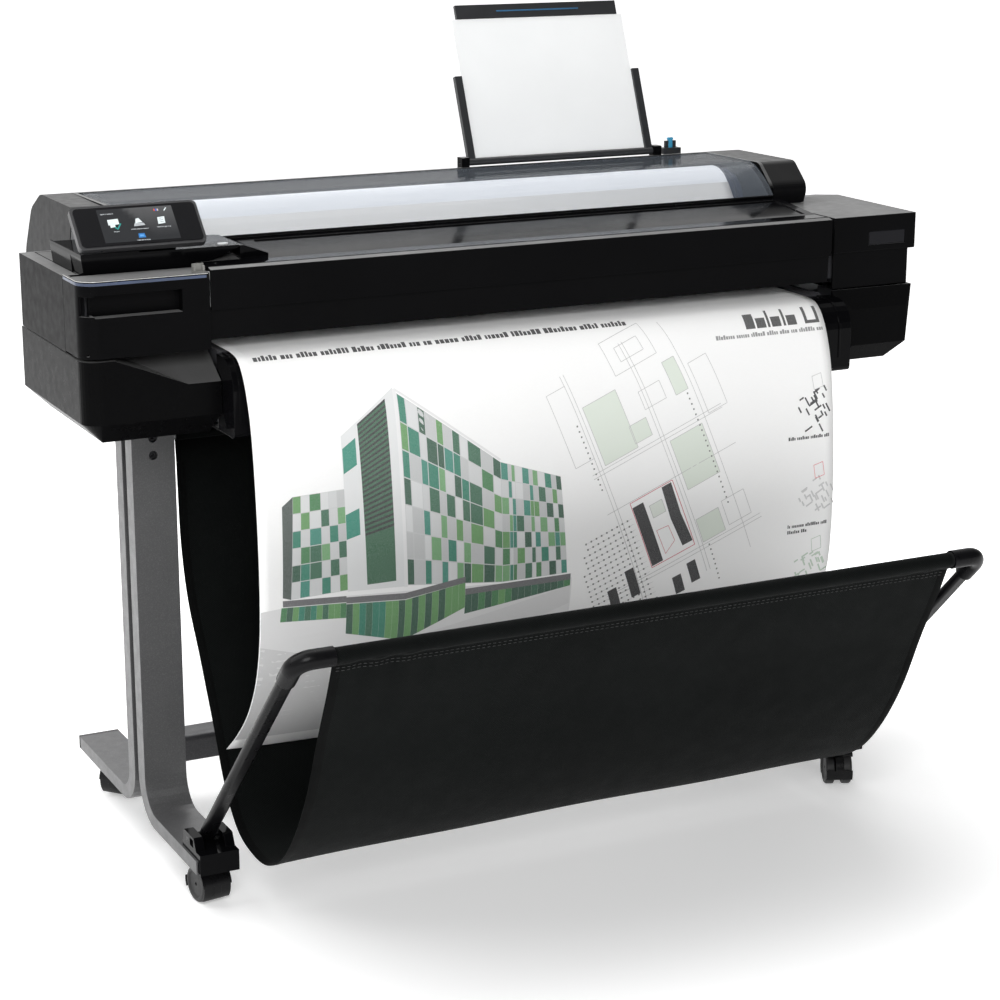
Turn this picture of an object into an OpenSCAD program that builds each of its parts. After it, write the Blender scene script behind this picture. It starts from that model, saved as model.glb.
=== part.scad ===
// Large format roll-fed plotter on a wheeled stand, with an open print basket.
// Millimetres. X runs along the width, Y from front to back, Z up from the floor.
// Heights and depths inside the modules are given from the floor and from the stand's datum,
// which at_origin() moves back so that the footprint is centred on the origin.

/* [Body] */
// Overall width across the two end housings
body_w = 1317; // [1310:1:1324]
// Height of the roll cover's flat top
hood_top = 933; // [932:1:936]
// Underside of the end housings
body_bottom = 647; // [644:1:648]
// Seam between the lower and the upper housings
seam_z = 761; // [760:1:762]
// Wall thickness of the plastic shells
wall = 3; // [2.5:0.5:3.5]
/* [Media] */
// Width of the paper roll and of the printed sheet
media_w = 914.4; // [900:0.1:914.4]
// Outer radius of the paper roll
roll_r = 54; // [40:1:54]
// Thickness of the sheet's solid
sheet_t = 0.4; // [0.3:0.1:0.5]
/* [Stand] */
// Distance of each leg's middle from the centre line
leg_x = 517.5; // [515:0.5:520]
// Width of the leg plates
leg_w = 63; // [60:1:66]
// Underside of the feet
foot_z = 44; // [44:1:46]
// Radius of the caster wheels
wheel_r = 26; // [24:0.5:26]
/* [Basket] */
// Length of the arms from their pivots to the bar's axis
arm_l = 508; // [500:1:512]
// Lean of the open arms from upright
arm_lean = 44.3; // [42:0.1:46]
/* [Sheet feeder] */
// Lean of the sheet plate from upright
tray_lean = 21.6; // [15:0.1:30]
// Height of the sheet plate
plate_h = 248; // [200:1:260]

/* [Hidden] */
$fn = 48;
half_w = body_w / 2;
shift_y = 200;                 // from the stand's datum to the footprint's middle
front_y = -250;                // front plane of the left housing
door_l = -482;                 // right end of the cartridge door
cover_x = [-480, 500];         // front cover, top deck
inner_x = [-469, 511];         // between the lower housings
right_x = 512;                 // inner end of the right housing
plate_x = [-474, 500];         // left faces of the chassis side plates
plate_t = 4;
beam_t = 1.2;
bay_x = [-556, 500];           // outer faces of the roll bay's end walls
bay_t = 6;
hinge_gap = 0.05;              // radial clearance of every pin and shaft
// feed path
feed_y = -132;
feed_r = 12;
feed_z = 746;
pinch_r = 6;
pinch_z = feed_z + feed_r + 0.7 + pinch_r;
paper_z = feed_z + feed_r + 0.15;
roll_c = [22, 868];
spindle_r = 14;
journal_r = 8;
// carriage
rail_y = [-122, -104];
rail_z = [800, 832];
carriage_x = 570;              // parked over the service station
carriage_w = 110;
pulley_x = 612;
pulley_y = -84;
pulley_r = 8;
// hinges: [y, z]
door_hinge = [-244, 769];
front_hinge = [-236.5, 868];
lid_hinge = [99, 926];
tray_hinge = [118, 938];
arm_hinge = [-265, 81];
pin_r = 1.6;
barrel_r = 3.2;
// stand
foot_t = 20;
foot_front = -309;
foot_rear = 228;
column_front = [-94, -66];
column_rear = [-48, -20];
bolt_z = [612, 587];
// casters: name, x side, y, turn
caster_front_y = -285;
caster_rear_y = 150;
trail = 15;
caster_turn = [8, 156, -50, 14];
// height of the stand's datum above the floor, and of the feet above it
lift = 12;
ride_z = foot_z + lift;
// basket
bar_r = 9;
elbow_r = 13;
bend_r = 22;
rod_yz = [-40, 598];
fabric_t = 1.2;
fabric_w = 934;

// ---- helpers ----

module at_origin() {
    translate([0, shift_y, lift]) children();
}

// Box from three [low, high] pairs
module box(x, y, z) {
    translate([x[0], y[0], z[0]]) cube([x[1] - x[0], y[1] - y[0], z[1] - z[0]]);
}

// Extrudes a (y, z) outline along X
module along_x(x) {
    translate([x[0], 0, 0]) rotate([90, 0, 90]) linear_extrude(x[1] - x[0]) children();
}

// Cylinder along X about the (y, z) point c
module rod_x(x, c, r) {
    translate([x[0], c[0], c[1]]) rotate([0, 90, 0]) cylinder(h = x[1] - x[0], r = r);
}

// Mirrors its children to both sides of the centre line
module both_sides() {
    children();
    mirror([1, 0, 0]) children();
}

function unit(v) = v / norm(v);
function turned(v) = [-v[1], v[0]];

// Arc that rounds the corner b between a and c with radius r
function corner(a, b, c, r, n = 7) =
    let(u = unit(a - b), v = unit(c - b))
    let(half = acos(max(-1, min(1, u * v))) / 2)
    let(mid = b + unit(u + v) * r / sin(half))
    let(from = b + u * r / tan(half) - mid, to = b + v * r / tan(half) - mid)
    let(side = from[0] * to[1] - from[1] * to[0] > 0 ? 1 : -1)
    let(sweep = 180 - 2 * half)
    [for (i = [0:n]) let(t = side * sweep * i / n)
        mid + [from[0] * cos(t) - from[1] * sin(t), from[0] * sin(t) + from[1] * cos(t)]];

// Closed outline with rounded corners from [y, z, radius] rows
function rounded(rows) =
    let(m = len(rows))
    [for (i = [0:m - 1])
        let(a = rows[(i + m - 1) % m], b = rows[i], c = rows[(i + 1) % m])
        each (b[2] > 0
            ? corner([a[0], a[1]], [b[0], b[1]], [c[0], c[1]], b[2])
            : [[b[0], b[1]]])];

// Smooth curve through the points, n steps between each two
function catmull(p0, p1, p2, p3, t) =
    0.5 * (2 * p1 + (p2 - p0) * t + (2 * p0 - 5 * p1 + 4 * p2 - p3) * t * t
        + (3 * p1 - p0 - 3 * p2 + p3) * t * t * t);
function smooth(p, n = 5) =
    let(m = len(p))
    [for (i = [0:m - 2], k = [0:n - 1])
        catmull(p[max(i - 1, 0)], p[i], p[i + 1], p[min(i + 2, m - 1)], k / n), p[m - 1]];

// Normal of an open path at point i
function normal_at(p, i) =
    turned(unit(p[min(i + 1, len(p) - 1)] - p[max(i - 1, 0)]));

// Closed outline of a band from offset a to offset b beside an open path
function band(p, a, b) =
    let(m = len(p))
    concat([for (i = [0:m - 1]) p[i] + normal_at(p, i) * a],
        [for (i = [m - 1:-1:0]) p[i] + normal_at(p, i) * b]);

// ---- stand ----

tube_t = 2.5;

// Side outline of each leg tube, t inside its faces; its hollow runs out at the foot's end
function front_leg_outline(t, top, end) = rounded([
    [column_front[1] - t, top, 0], [column_front[1] - t, foot_z + t, 65 - t],
    [end, foot_z + t, 0], [end, foot_z + foot_t - t, 0],
    [column_front[0] + t, foot_z + foot_t - t, 45 + t], [column_front[0] + t, top, 0]
]);
function rear_leg_outline(t, top, end) = rounded([
    [column_rear[0] + t, top, 0], [column_rear[0] + t, foot_z + t, 58 - t],
    [end, foot_z + t, 0], [end, foot_z + foot_t - t, 0],
    [column_rear[1] - t, foot_z + foot_t - t, 34 + t], [column_rear[1] - t, top, 0]
]);
bolt_head_r = 5.6;
bolt_shank_r = 3.9;
recess_r = 6.5;
recess_d = 9;

module leg() {
    x = [leg_x - leg_w / 2, leg_x + leg_w / 2];
    hollow_x = [x[0] + tube_t, x[1] - tube_t];
    // solid block behind the bolts, hollow below it
    hollow_top = 566;
    difference() {
        along_x(x) polygon(front_leg_outline(0, body_bottom, foot_front));
        along_x(hollow_x) polygon(front_leg_outline(tube_t, hollow_top, foot_front - 1));
        for (z = bolt_z) {
            translate([leg_x, column_front[0] - 1, z]) rotate([-90, 0, 0])
                cylinder(h = recess_d + 1, r = recess_r);
            translate([leg_x, column_front[0], z]) rotate([-90, 0, 0])
                cylinder(h = 40, r = bolt_shank_r + hinge_gap);
        }
    }
    difference() {
        along_x(x) polygon(rear_leg_outline(0, body_bottom, foot_rear));
        along_x(hollow_x) polygon(rear_leg_outline(tube_t, hollow_top, foot_rear + 1));
    }
}

module leg_left() {
    color("gray") at_origin() mirror([1, 0, 0]) leg();
}

module leg_right() {
    color("gray") at_origin() leg();
}

module leg_trim() {
    spacer_w = 40;
    cap_t = 7;
    color("#181818") at_origin() both_sides() {
        difference() {
            box([leg_x - spacer_w / 2, leg_x + spacer_w / 2],
                [column_front[1], column_rear[0]], [foot_z + 60, body_bottom]);
            for (z = bolt_z)
                translate([leg_x, column_front[1] - 1, z]) rotate([-90, 0, 0])
                    cylinder(h = 30, r = bolt_shank_r + hinge_gap);
        }
        box([leg_x - leg_w / 2, leg_x + leg_w / 2], [foot_rear, foot_rear + cap_t],
            [foot_z, foot_z + foot_t]);
    }
}

module leg_bolts() {
    head_h = 5;
    color("#303030") at_origin() both_sides() for (z = bolt_z)
        translate([leg_x, column_front[0] + recess_d, z]) rotate([90, 0, 0]) {
            difference() {
                cylinder(h = head_h, r = bolt_head_r);
                translate([0, 0, 2]) cylinder(h = head_h, r = 3, $fn = 6);
            }
            translate([0, 0, -30]) cylinder(h = 30, r = bolt_shank_r);
        }
}

module crossbar() {
    x = leg_x - leg_w / 2;
    y = [52, 106];
    z = [foot_z + foot_t + 0.2, foot_z + foot_t + 40];
    t = 2;
    color("#4a4a4a") at_origin() {
        difference() {
            along_x([-x + 4, x - 4]) polygon(rounded([
                [y[0], z[0], 3], [y[1], z[0], 3], [y[1], z[1], 8], [y[0], z[1], 8]
            ]));
            box([-x - 1, x + 1], [y[0] + t, y[1] - t], [z[0] + t, z[1] - t - 2]);
        }
        for (s = [-1, 1])
            translate([s * (x - 2), 0, 0])
                box([-2, 2], [y[0] - 2, y[1] + 2], [foot_z, z[1]]);
    }
}

bracket_w = 57;
slot_w = 30;
step_z = foot_z + foot_t + 10;

module foot_brackets() {
    x = [leg_x - bracket_w / 2, leg_x + bracket_w / 2];
    top = foot_z + foot_t;
    ear_w = (bracket_w - slot_w) / 2;
    color("#101010") at_origin() both_sides() difference() {
        union() {
            box(x, [foot_front - 8, foot_front], [foot_z, step_z]);
            box(x, [foot_front - 8, -245], [top, step_z]);
            for (ex = [x[0], x[1] - ear_w])
                along_x([ex, ex + ear_w]) polygon(rounded([
                    [-302, step_z - 2, 0], [-247, step_z - 2, 0], [-251, 91, 4], [-292, 91, 4]
                ]));
        }
        rod_x([x[0] - 1, x[1] + 1], arm_hinge, 4 + hinge_gap);
        // hollow outer side of each ear
        for (ex = [x[0] - 1, x[1] - 2.5])
            box([ex, ex + 3.5], [-290, -276], [step_z + 2, 87]);
    }
}

module fabric_rod() {
    x = leg_x - leg_w / 2;
    color("#303030") at_origin() rod_x([-x, x], rod_yz, 5);
}

// ---- casters ----

// Places its children at caster i, turned about the stem
module at_caster(i) {
    x = (i % 2 == 0 ? -1 : 1) * leg_x;
    y = i < 2 ? caster_front_y : caster_rear_y;
    at_origin() translate([x, y, -lift]) rotate([0, 0, caster_turn[i]]) children();
}

stem_r = 4;
axle_r = 2.5;
web_w = 12;
wheel_w = 14;
wheel_gap = 0.6;

module caster_stems() {
    stem_low = 33;
    color("silver") for (i = [0:3]) at_caster(i)
        translate([0, 0, stem_low]) cylinder(h = ride_z - stem_low, r = stem_r);
}

module caster_hood(i) {
    w = web_w + 2 * (wheel_gap + wheel_w) + 3;
    r_out = ride_z - 0.4 - wheel_r;
    r_in = wheel_r + 0.6;
    color("#141414") at_caster(i) difference() {
        union() {
            difference() {
                rod_x([-w / 2, w / 2], [trail, wheel_r], r_out);
                rod_x([-w / 2 - 1, w / 2 + 1], [trail, wheel_r], r_in);
                box([-w, w], [-50, 50], [-5, wheel_r + 3]);
                box([-w, w], [trail + 15, 70], [-5, 60]);
            }
            intersection() {
                rod_x([-web_w / 2, web_w / 2], [trail, wheel_r], r_out);
                box([-web_w, web_w], [-60, 60], [wheel_r - 10, 60]);
            }
        }
        translate([0, 0, -1]) cylinder(h = 60, r = stem_r + hinge_gap);
        rod_x([-web_w, web_w], [trail, wheel_r], axle_r + hinge_gap);
    }
}

module caster_wheels(i) {
    inner = web_w / 2 + wheel_gap;
    bore = axle_r + hinge_gap;
    color("#2a2a2a") at_caster(i) {
        rod_x([-inner - 10, inner + 10], [trail, wheel_r], axle_r);
        for (s = [-1, 1])
            translate([s * inner, trail, wheel_r]) rotate([0, s * 90, 0])
                rotate_extrude() polygon(rounded([
                    [bore, 0, 0], [wheel_r, 0, 1.5], [wheel_r, wheel_w, 4],
                    [wheel_r - 6, wheel_w, 0], [wheel_r - 8, wheel_w - 2, 0],
                    [bore, wheel_w - 2, 0]
                ]));
    }
}

module caster_hood_fl() { caster_hood(0); }
module caster_hood_fr() { caster_hood(1); }
module caster_hood_rl() { caster_hood(2); }
module caster_hood_rr() { caster_hood(3); }
module caster_wheels_fl() { caster_wheels(0); }
module caster_wheels_fr() { caster_wheels(1); }
module caster_wheels_rl() { caster_wheels(2); }
module caster_wheels_rr() { caster_wheels(3); }

// ---- basket ----

// Frame whose Z runs up the open arms from their pivots
module in_arm_plane() {
    translate([0, arm_hinge[0], arm_hinge[1]]) rotate([arm_lean, 0, 0]) children();
}

arm_t = 13;
arm_w = 24;
eye_w = 21;
bar_yz = arm_hinge + arm_l * [-sin(arm_lean), cos(arm_lean)];

module basket_frame() {
    socket_x = leg_x - 50;
    color("#1c1c1c") at_origin() in_arm_plane() {
        both_sides() {
            difference() {
                union() {
                    rod_x([leg_x - eye_w / 2, leg_x + eye_w / 2], [0, 0], arm_t / 2 + 0.2);
                    translate([leg_x, 0, 0]) linear_extrude(arm_l - bend_r - 4) {
                        square([arm_w - arm_t, arm_t], center = true);
                        for (s = [-1, 1])
                            translate([s * (arm_w - arm_t) / 2, 0]) circle(d = arm_t);
                    }
                }
                rod_x([leg_x - arm_w, leg_x + arm_w], [0, 0], 4 + hinge_gap);
            }
            // round elbow between the arm and the bar
            translate([leg_x, 0, arm_l - bend_r - 26]) cylinder(h = 26, r = elbow_r);
            translate([leg_x - bend_r, 0, arm_l - bend_r]) rotate([90, 0, 0])
                rotate_extrude(angle = 90) translate([bend_r, 0]) circle(r = elbow_r);
            rod_x([socket_x, leg_x - bend_r], [0, arm_l], elbow_r);
        }
        rod_x([-socket_x - 2, socket_x + 2], [0, arm_l], bar_r);
    }
}

fabric_path = smooth([
    rod_yz + [0, -5.6], [-42, 520], [-50, 440], [-72, 362], [-118, 285], [-165, 200],
    [-205, 122], [-252, 74], [-310, 60], [-368, 66], [-425, 98], [-475, 152], [-520, 225],
    [-560, 315], [-594, 385], bar_yz + [6, -9]
], 3);

module basket_fabric() {
    sleeve = 2;
    color("#101414") at_origin() difference() {
        along_x([-fabric_w / 2, fabric_w / 2]) {
            polygon(band(fabric_path, -fabric_t / 2, fabric_t / 2));
            translate(bar_yz) circle(r = bar_r + 0.4 + sleeve);
            translate(rod_yz) circle(r = 5 + 0.4 + sleeve);
        }
        rod_x([-fabric_w, fabric_w], bar_yz, bar_r + 0.4);
        rod_x([-fabric_w, fabric_w], rod_yz, 5 + 0.4);
    }
}

// ---- end housings ----

side_chamfer = 28;
lower_top = seam_z - 1;
rear_y = 40;

// Lower housing's block, t inside its outer faces; side is -1 left, 1 right
module left_lower_block(t, open = 0) {
    r = 25 - t;
    hull() {
        for (z = [body_bottom + side_chamfer + t / 2, lower_top + open])
            translate([0, 0, z - 0.1]) linear_extrude(0.1) {
                translate([-half_w + 25, front_y + 25]) circle(r = r, $fn = 32);
                translate([-half_w + t, rear_y - t - 1]) square(1);
                translate([-471 - t + open, front_y + t]) square(1);
                translate([-471 - t + open, rear_y - t - 1]) square(1);
            }
        translate([-half_w + side_chamfer + t / 2, front_y + 22 + t / 2, body_bottom + t])
            cube([half_w - side_chamfer - 482 - 1.5 * t + open, rear_y - front_y - 48 - t, 0.1]);
    }
}

module left_lower_housing() {
    color("#151515") at_origin() difference() {
        left_lower_block(0);
        // rear bay, open to the middle of the machine and at the top
        intersection() {
            left_lower_block(wall, 30);
            box([-700, -400], [-186, rear_y - wall], [600, 800]);
        }
        // front compartment under the ramp
        intersection() {
            left_lower_block(wall);
            box([-700, -476], [-248, -190], [600, 706]);
        }
        // ramp that falls towards the print exit
        hull() {
            box([-606, -465], [-190, -189], [lower_top, lower_top + 9]);
            box([-614, -465], [-252, -251], [lower_top - 1, lower_top + 9]);
            box([-514, -465], [-252, -251], [719, lower_top + 9]);
        }
        // clearance round the roll bay
        box([-560, -400], [-30, 60], [738, 800]);
    }
}

module left_upper_housing() {
    z = [seam_z + 1, 864];
    door_y = -172;
    color("#171717") at_origin() difference() {
        box([-half_w, door_l], [door_y, 35], z);
        box([-half_w + wall, door_l + 1], [door_y - 1, 35 - wall], [z[0] - 1, z[1] - wall]);
        box([-560, door_l + 1], [-94, 40], [z[0] - 1, z[1] + 1]);
        // shallow seam line round the top rim
        difference() {
            box([-half_w + 20, -560], [door_y + 6, 28], [z[1] - 1, z[1] + 1]);
            box([-half_w + 22, -562], [door_y + 8, 26], [z[1] - 2, z[1] + 2]);
        }
    }
}

module right_lower_block(t, open = 0) {
    low = body_bottom + t;
    hull() {
        box([right_x + t - open, half_w - t], [-192 + t, rear_y - t],
            [body_bottom + side_chamfer + t, lower_top + open]);
        box([550 + t, half_w - 10 - t], [-240 + t, -230], [672 + t, 728 - t]);
        box([right_x + t - open, half_w - 2 - t], [-238 + t, -230],
            [lower_top - 1 + open, lower_top + open]);
        box([538 + t - open, half_w - 38 - t], [-224 + t, rear_y - 22 - t], [low, low + 0.1]);
    }
}

module right_lower_housing() {
    color("#151515") at_origin() difference() {
        right_lower_block(0);
        intersection() {
            right_lower_block(wall, 20);
            box([right_x - 30, half_w], [-236, rear_y - wall], [600, 800]);
        }
        box([right_x - 1, right_x + wall], [-180, rear_y - wall], [655, 800]);
    }
}

module right_upper_housing() {
    step = 816;
    top = 870;
    color("#1a1a1a") at_origin() difference() {
        union() {
            along_x([right_x, half_w]) polygon([
                [-240, step], [-240, top], [-30, top], [35, top - 8], [35, step]
            ]);
            box([right_x + 2, half_w - 9], [-235, 33], [seam_z + 1, step + 1]);
        }
        box([right_x - 1, half_w - 9 - wall], [-235 + wall, 33 - wall], [seam_z, top - 12]);
        // shallow recess for the blank nameplate
        box([574, 640], [-241, -239], [825, 846]);
        // seam groove under the cap
        box([right_x - 1, half_w + 1], [-241, -239.2], [step - 0.01, step + 1.2]);
    }
}

// ---- cartridge door ----

module door_plan(t) {
    r = 25 - t;
    difference() {
        union() {
            translate([-half_w + 25, front_y + 25]) circle(r = r);
            translate([-half_w + t, front_y + 25]) square([200 - t, 53]);
            translate([-half_w + 25, front_y + t]) square([175, 80 - t]);
        }
        translate([door_l - t, -300]) square([200, 400]);
        translate([-700, -173]) square([400, 100]);
    }
}

module cartridge_door() {
    z = [764, 867];
    pocket = [[-640, -520], [front_y - 1, -233], [818, 848]];
    color("#161616") at_origin() difference() {
        union() {
            difference() {
                translate([0, 0, z[0]]) linear_extrude(z[1] - z[0]) door_plan(0);
                translate([0, 0, z[0] - 1]) linear_extrude(z[1] - z[0] - 4) difference() {
                    door_plan(wall);
                    translate([door_l - 2 * wall, -300]) square([50, 400]);
                }
                // the door's inside is open behind the front wall and beside the deck
                box([-half_w + wall, door_l + 1], [-201, -100], [z[0] - 1, z[1] + 1]);
                // room for the carriage at the end of its travel
                box([-530, door_l + 1], [-227, -200], [z[0] - 1, z[1] - wall - 1]);
            }
            box([-644, -516], [front_y + 2, -229], [814, 852]);
            for (x = [-640, -520])
                rod_x([x, x + 14], door_hinge, 4);
        }
        box(pocket[0], pocket[1], pocket[2]);
        // the pocket's mouth runs round the corner and tapers away to the right
        hull() {
            box([-660, -655], [-243, -234], [820, 846]);
            box([-640, -639], [front_y - 1, -234], [820, 846]);
        }
        rod_x([-700, -400], door_hinge, pin_r + hinge_gap);
    }
}

// ---- front cover and top deck ----

module front_cover() {
    step = 816;
    low = 775;
    color("#1a1a1a") at_origin() difference() {
        union() {
            along_x(cover_x) polygon([
                [-240, 872.4], [front_y, 870], [front_y, step], [-243, step - 1], [-241, low],
                [-237, low], [-239, step + 3], [-246, step + 4], [-246, 867], [-240, 868.8]
            ]);
            for (x = [cover_x[0] + 20, cover_x[1] - 44]) {
                rod_x([x, x + 24], front_hinge, barrel_r);
                box([x, x + 24], [-241, -237], [869, 871]);
            }
        }
        rod_x([cover_x[0], cover_x[1]], front_hinge, pin_r + hinge_gap);
    }
}

module top_deck() {
    t = 3;
    color("#0c0c0c") at_origin() {
        difference() {
            along_x(cover_x) polygon([
                [-233, 872], [-205, 872], [-97, 884], [-97, 876], [-205, 872 - t], [-233, 872 - t]
            ]);
            box([cover_x[0] - 1, -419], [-199, -60], [800, 900]);
            // long shallow tray in the deck's surface
            along_x([-368, 486]) polygon([
                [-196, 880], [-196, 871.6], [-112, 880.8], [-112, 890]
            ]);
        }
        hull() {
            box([-418.5, -414], [-197, -100.5], [873, 891]);
            box([-382, -376], [-192, -100.5], [873, 877]);
        }
        // lugs that carry the front cover's pins
        for (x = [cover_x[0] + 45, cover_x[1] - 52]) difference() {
            union() {
                rod_x([x, x + 7], front_hinge, barrel_r);
                box([x, x + 7], [-236, -231], [866, 870.5]);
            }
            rod_x([x - 1, x + 8], front_hinge, pin_r + 0.02);
        }
    }
}

module touch_deck() {
    top = 892;
    x = [-640, -420];
    side = -604;
    rim = 2;
    button_c = [-438, -183];
    color("#0e0e0e") at_origin() difference() {
        union() {
            hull() {
                box([x[0] + 4, -484], [-196, -104], [864.2, 865]);
                box(x, [-198, -102], [top - 3, top]);
            }
            // the deck runs back beside the end cap, with a low rim round its edge
            hull() {
                box([x[0] + 2, side], [-150, -60], [864.2, 865]);
                box([x[0], side], [-150, -57], [top - 3, top]);
            }
            box([x[0], x[0] + rim], [-198, -57], [top - 1, top + rim]);
            box([x[0], -560], [-198, -198 + rim], [top - 1, top + rim]);
            in_panel() box([-50, 50], [-24, 24], [-38, -panel_t]);
        }
        translate([button_c[0], button_c[1], top - 5]) linear_extrude(10) stadium(16, 9.6);
    }
}

// Round-ended slot outline, l long and w wide
module stadium(l, w) {
    square([l - w, w], center = true);
    for (s = [-1, 1]) translate([s * (l - w) / 2, 0]) circle(d = w);
}

panel_t = 9;
panel_size = [176, 70];

// Frame on the touch panel's front face
module in_panel() {
    translate([-552.5, -175.5, 925]) rotate([45.6, 0, 0]) children();
}

module rounded_plate(size, r, t) {
    linear_extrude(t) polygon([for (p = rounded([
        [-size[0] / 2, -size[1] / 2, r], [size[0] / 2, -size[1] / 2, r],
        [size[0] / 2, size[1] / 2, r], [-size[0] / 2, size[1] / 2, r]])) p]);
}

module touch_panel() {
    color("#3a3a3c") at_origin() in_panel()
        translate([0, 0, -panel_t]) rounded_plate(panel_size, 8, panel_t);
}

module touch_glass() {
    color("black") at_origin() in_panel() rounded_plate(panel_size - [8, 8], 6, 1.2);
}

module power_button() {
    color("white") at_origin() translate([-438, -183, 889]) linear_extrude(4.4) stadium(15, 8.6);
}

// ---- roll bay and its cover ----

// Outline of the bay and the end caps, t inside the outer faces
function bay_outline(t, low) = rounded([
    [-72 + t, 852 + t, 0], [-90 + t, 897, 20], [-50, hood_top - t, 18], [122, 931 - t, 40],
    [172 - t * 0.7, 905 - t * 0.7, 40], [213 - t, 838, 50], [213 - t, 772, 24],
    [150, low + t, 20], [-25 + t, low + t, 0], [-25 + t, 852 + t, 0]
]);
bay_low = 742;

module bay_shell() {
    inner = [bay_x[0] + bay_t, bay_x[1] - bay_t];
    color("#161616") at_origin() difference() {
        union() {
            difference() {
                along_x(bay_x) polygon(bay_outline(0, bay_low));
                along_x(inner) polygon(bay_outline(wall, bay_low));
                box(inner, [-100, 106], [bay_low + wall, 960]);
                box(inner, [-30, -24], [bay_low - 1, 900]);
            }
            // lugs of the sheet feeder
            for (x = [60, 400])
                box([x, x + 13], [110, 127], [924, 946]);
        }
        rod_x([bay_x[0] - 1, bay_x[1] + 1], roll_c, journal_r + hinge_gap);
        rod_x([bay_x[0] - 1, bay_x[1] + 1], lid_hinge, pin_r + 0.02);
        rod_x([50, 420], tray_hinge, pin_r + 0.02);
        // slot for single sheets
        box([90, 382], [108, 111], [920, 940]);
    }
}

module hood_cap_left() {
    x = [-600, bay_x[0] - 0.5];
    color("#191919") at_origin() difference() {
        along_x(x) polygon(rounded([
            [-8, 865, 0], [-34, 931, 10], [122, 931, 40], [172, 905, 40], [213, 838, 50],
            [213, 790, 10], [36, 790, 0], [36, 865, 0]
        ]));
        along_x([x[0] + wall, x[1] + 1]) polygon(rounded([
            [-4, 868, 0], [-30, 928, 8], [121, 928, 38], [170, 903, 38], [210, 838, 48],
            [210, 793, 8], [39, 793, 0], [39, 868, 0]
        ]));
    }
}

module hood_cap_right() {
    x = [bay_x[1] + 0.5, 560];
    color("#191919") at_origin() difference() {
        along_x(x) polygon(rounded([
            [-80, 871, 0], [-90, 897, 20], [-50, hood_top, 18], [122, 931, 40], [172, 905, 40],
            [213, 838, 50], [213, 790, 10], [36, 790, 0], [36, 871, 0]
        ]));
        along_x([x[0] - 1, x[1] - wall]) polygon(rounded([
            [-76, 874, 0], [-86, 897, 17], [-49, hood_top - 3, 15], [121, 928, 38],
            [170, 903, 38], [210, 838, 48], [210, 793, 8], [39, 793, 0], [39, 874, 0]
        ]));
    }
}

lid_path = smooth([[94, 932], [30, 932.2], [-30, 932.2], [-62, 918], [-84, 902], [-97, 888]], 4);
lid_x = [bay_x[0] + bay_t + 1.5, bay_x[1] - bay_t - 1.5];
lid_t = 2.5;

module cover_window() {
    color([0.75, 0.8, 0.8, 0.4]) at_origin()
        along_x(lid_x) polygon(band(lid_path, 0, lid_t));
}

module cover_trim() {
    rib_w = 7;
    bar = 2.4;
    lid_end = lid_path[len(lid_path) - 1];
    lid_dir = unit(lid_end - lid_path[len(lid_path) - 2]);
    color("#26282a") at_origin() difference() {
        union() {
            // side ribs under the window
            for (x = [lid_x[0], lid_x[1] - rib_w])
                along_x([x, x + rib_w]) polygon(band(lid_path, lid_t, lid_t + 4));
            // lower edge bar, in line with the window's end
            along_x(lid_x) polygon([for (c = [[0, lid_t + 1.5], [bar, lid_t + 1.5], [bar, -0.8],
                [0, -0.8]]) lid_end + c[0] * lid_dir + c[1] * turned(lid_dir)]);
            // hinge barrels
            for (x = [lid_x[0], lid_x[1] - 24]) {
                rod_x([x, x + 24], lid_hinge, barrel_r);
                box([x, x + 24], [92, 98], [925.6, 929]);
            }
        }
        rod_x([bay_x[0], bay_x[1]], lid_hinge, pin_r + hinge_gap);
    }
}

// ---- media ----

module spindle() {
    hub_x = media_w / 2;
    color("#202838") at_origin() {
        rod_x([bay_x[0], bay_x[1]], roll_c, journal_r);
        rod_x([bay_x[0] + bay_t + 2, bay_x[1] - bay_t - 2], roll_c, spindle_r);
        for (s = [-1, 1]) {
            x0 = s < 0 ? -hub_x - 30 : hub_x + 0.5;
            rod_x(s < 0 ? [-hub_x - 6, -hub_x - 0.5] : [x0, x0 + 5.5], roll_c, roll_r - 2);
            rod_x([x0, x0 + 29.5], roll_c, roll_r - 12);
            rod_x(s < 0 ? [-hub_x - 22, -hub_x - 18] : [x0 + 17, x0 + 21], roll_c, roll_r - 6);
        }
    }
}

module paper_roll() {
    color("white") at_origin() difference() {
        rod_x([-media_w / 2, media_w / 2], roll_c, roll_r, $fn = 96);
        rod_x([-media_w, media_w], roll_c, spindle_r + 0.4);
    }
}

// Where the sheet leaves the roll, on the line that meets the feed nip
nip = [feed_y, paper_z];
to_roll = roll_c - nip;
tangent_a = atan2(to_roll[1], to_roll[0]) + asin((roll_r + 0.8) / norm(to_roll));
tangent_l = sqrt(to_roll * to_roll - pow(roll_r + 0.8, 2));
off_roll = nip + tangent_l * [cos(tangent_a), sin(tangent_a)];
near_nip = nip + 22 * [cos(tangent_a), sin(tangent_a)];
sheet_path = concat(
    [off_roll, near_nip],
    smooth([
        nip + [6, 3.4], nip, [-160, paper_z], [-215, paper_z], [-250, paper_z - 0.2],
        [-277, 753], [-297, 734], [-312, 703], [-324, 660], [-333, 590], [-339, 500],
        [-339, 420], [-332, 360], [-312, 300], [-280, 248], [-238, 204], [-192, 166]
    ], 4)
);

module paper_sheet() {
    color("white") at_origin()
        along_x([-media_w / 2, media_w / 2]) polygon(band(sheet_path, 0, -sheet_t));
}

// ---- print engine ----

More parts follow.
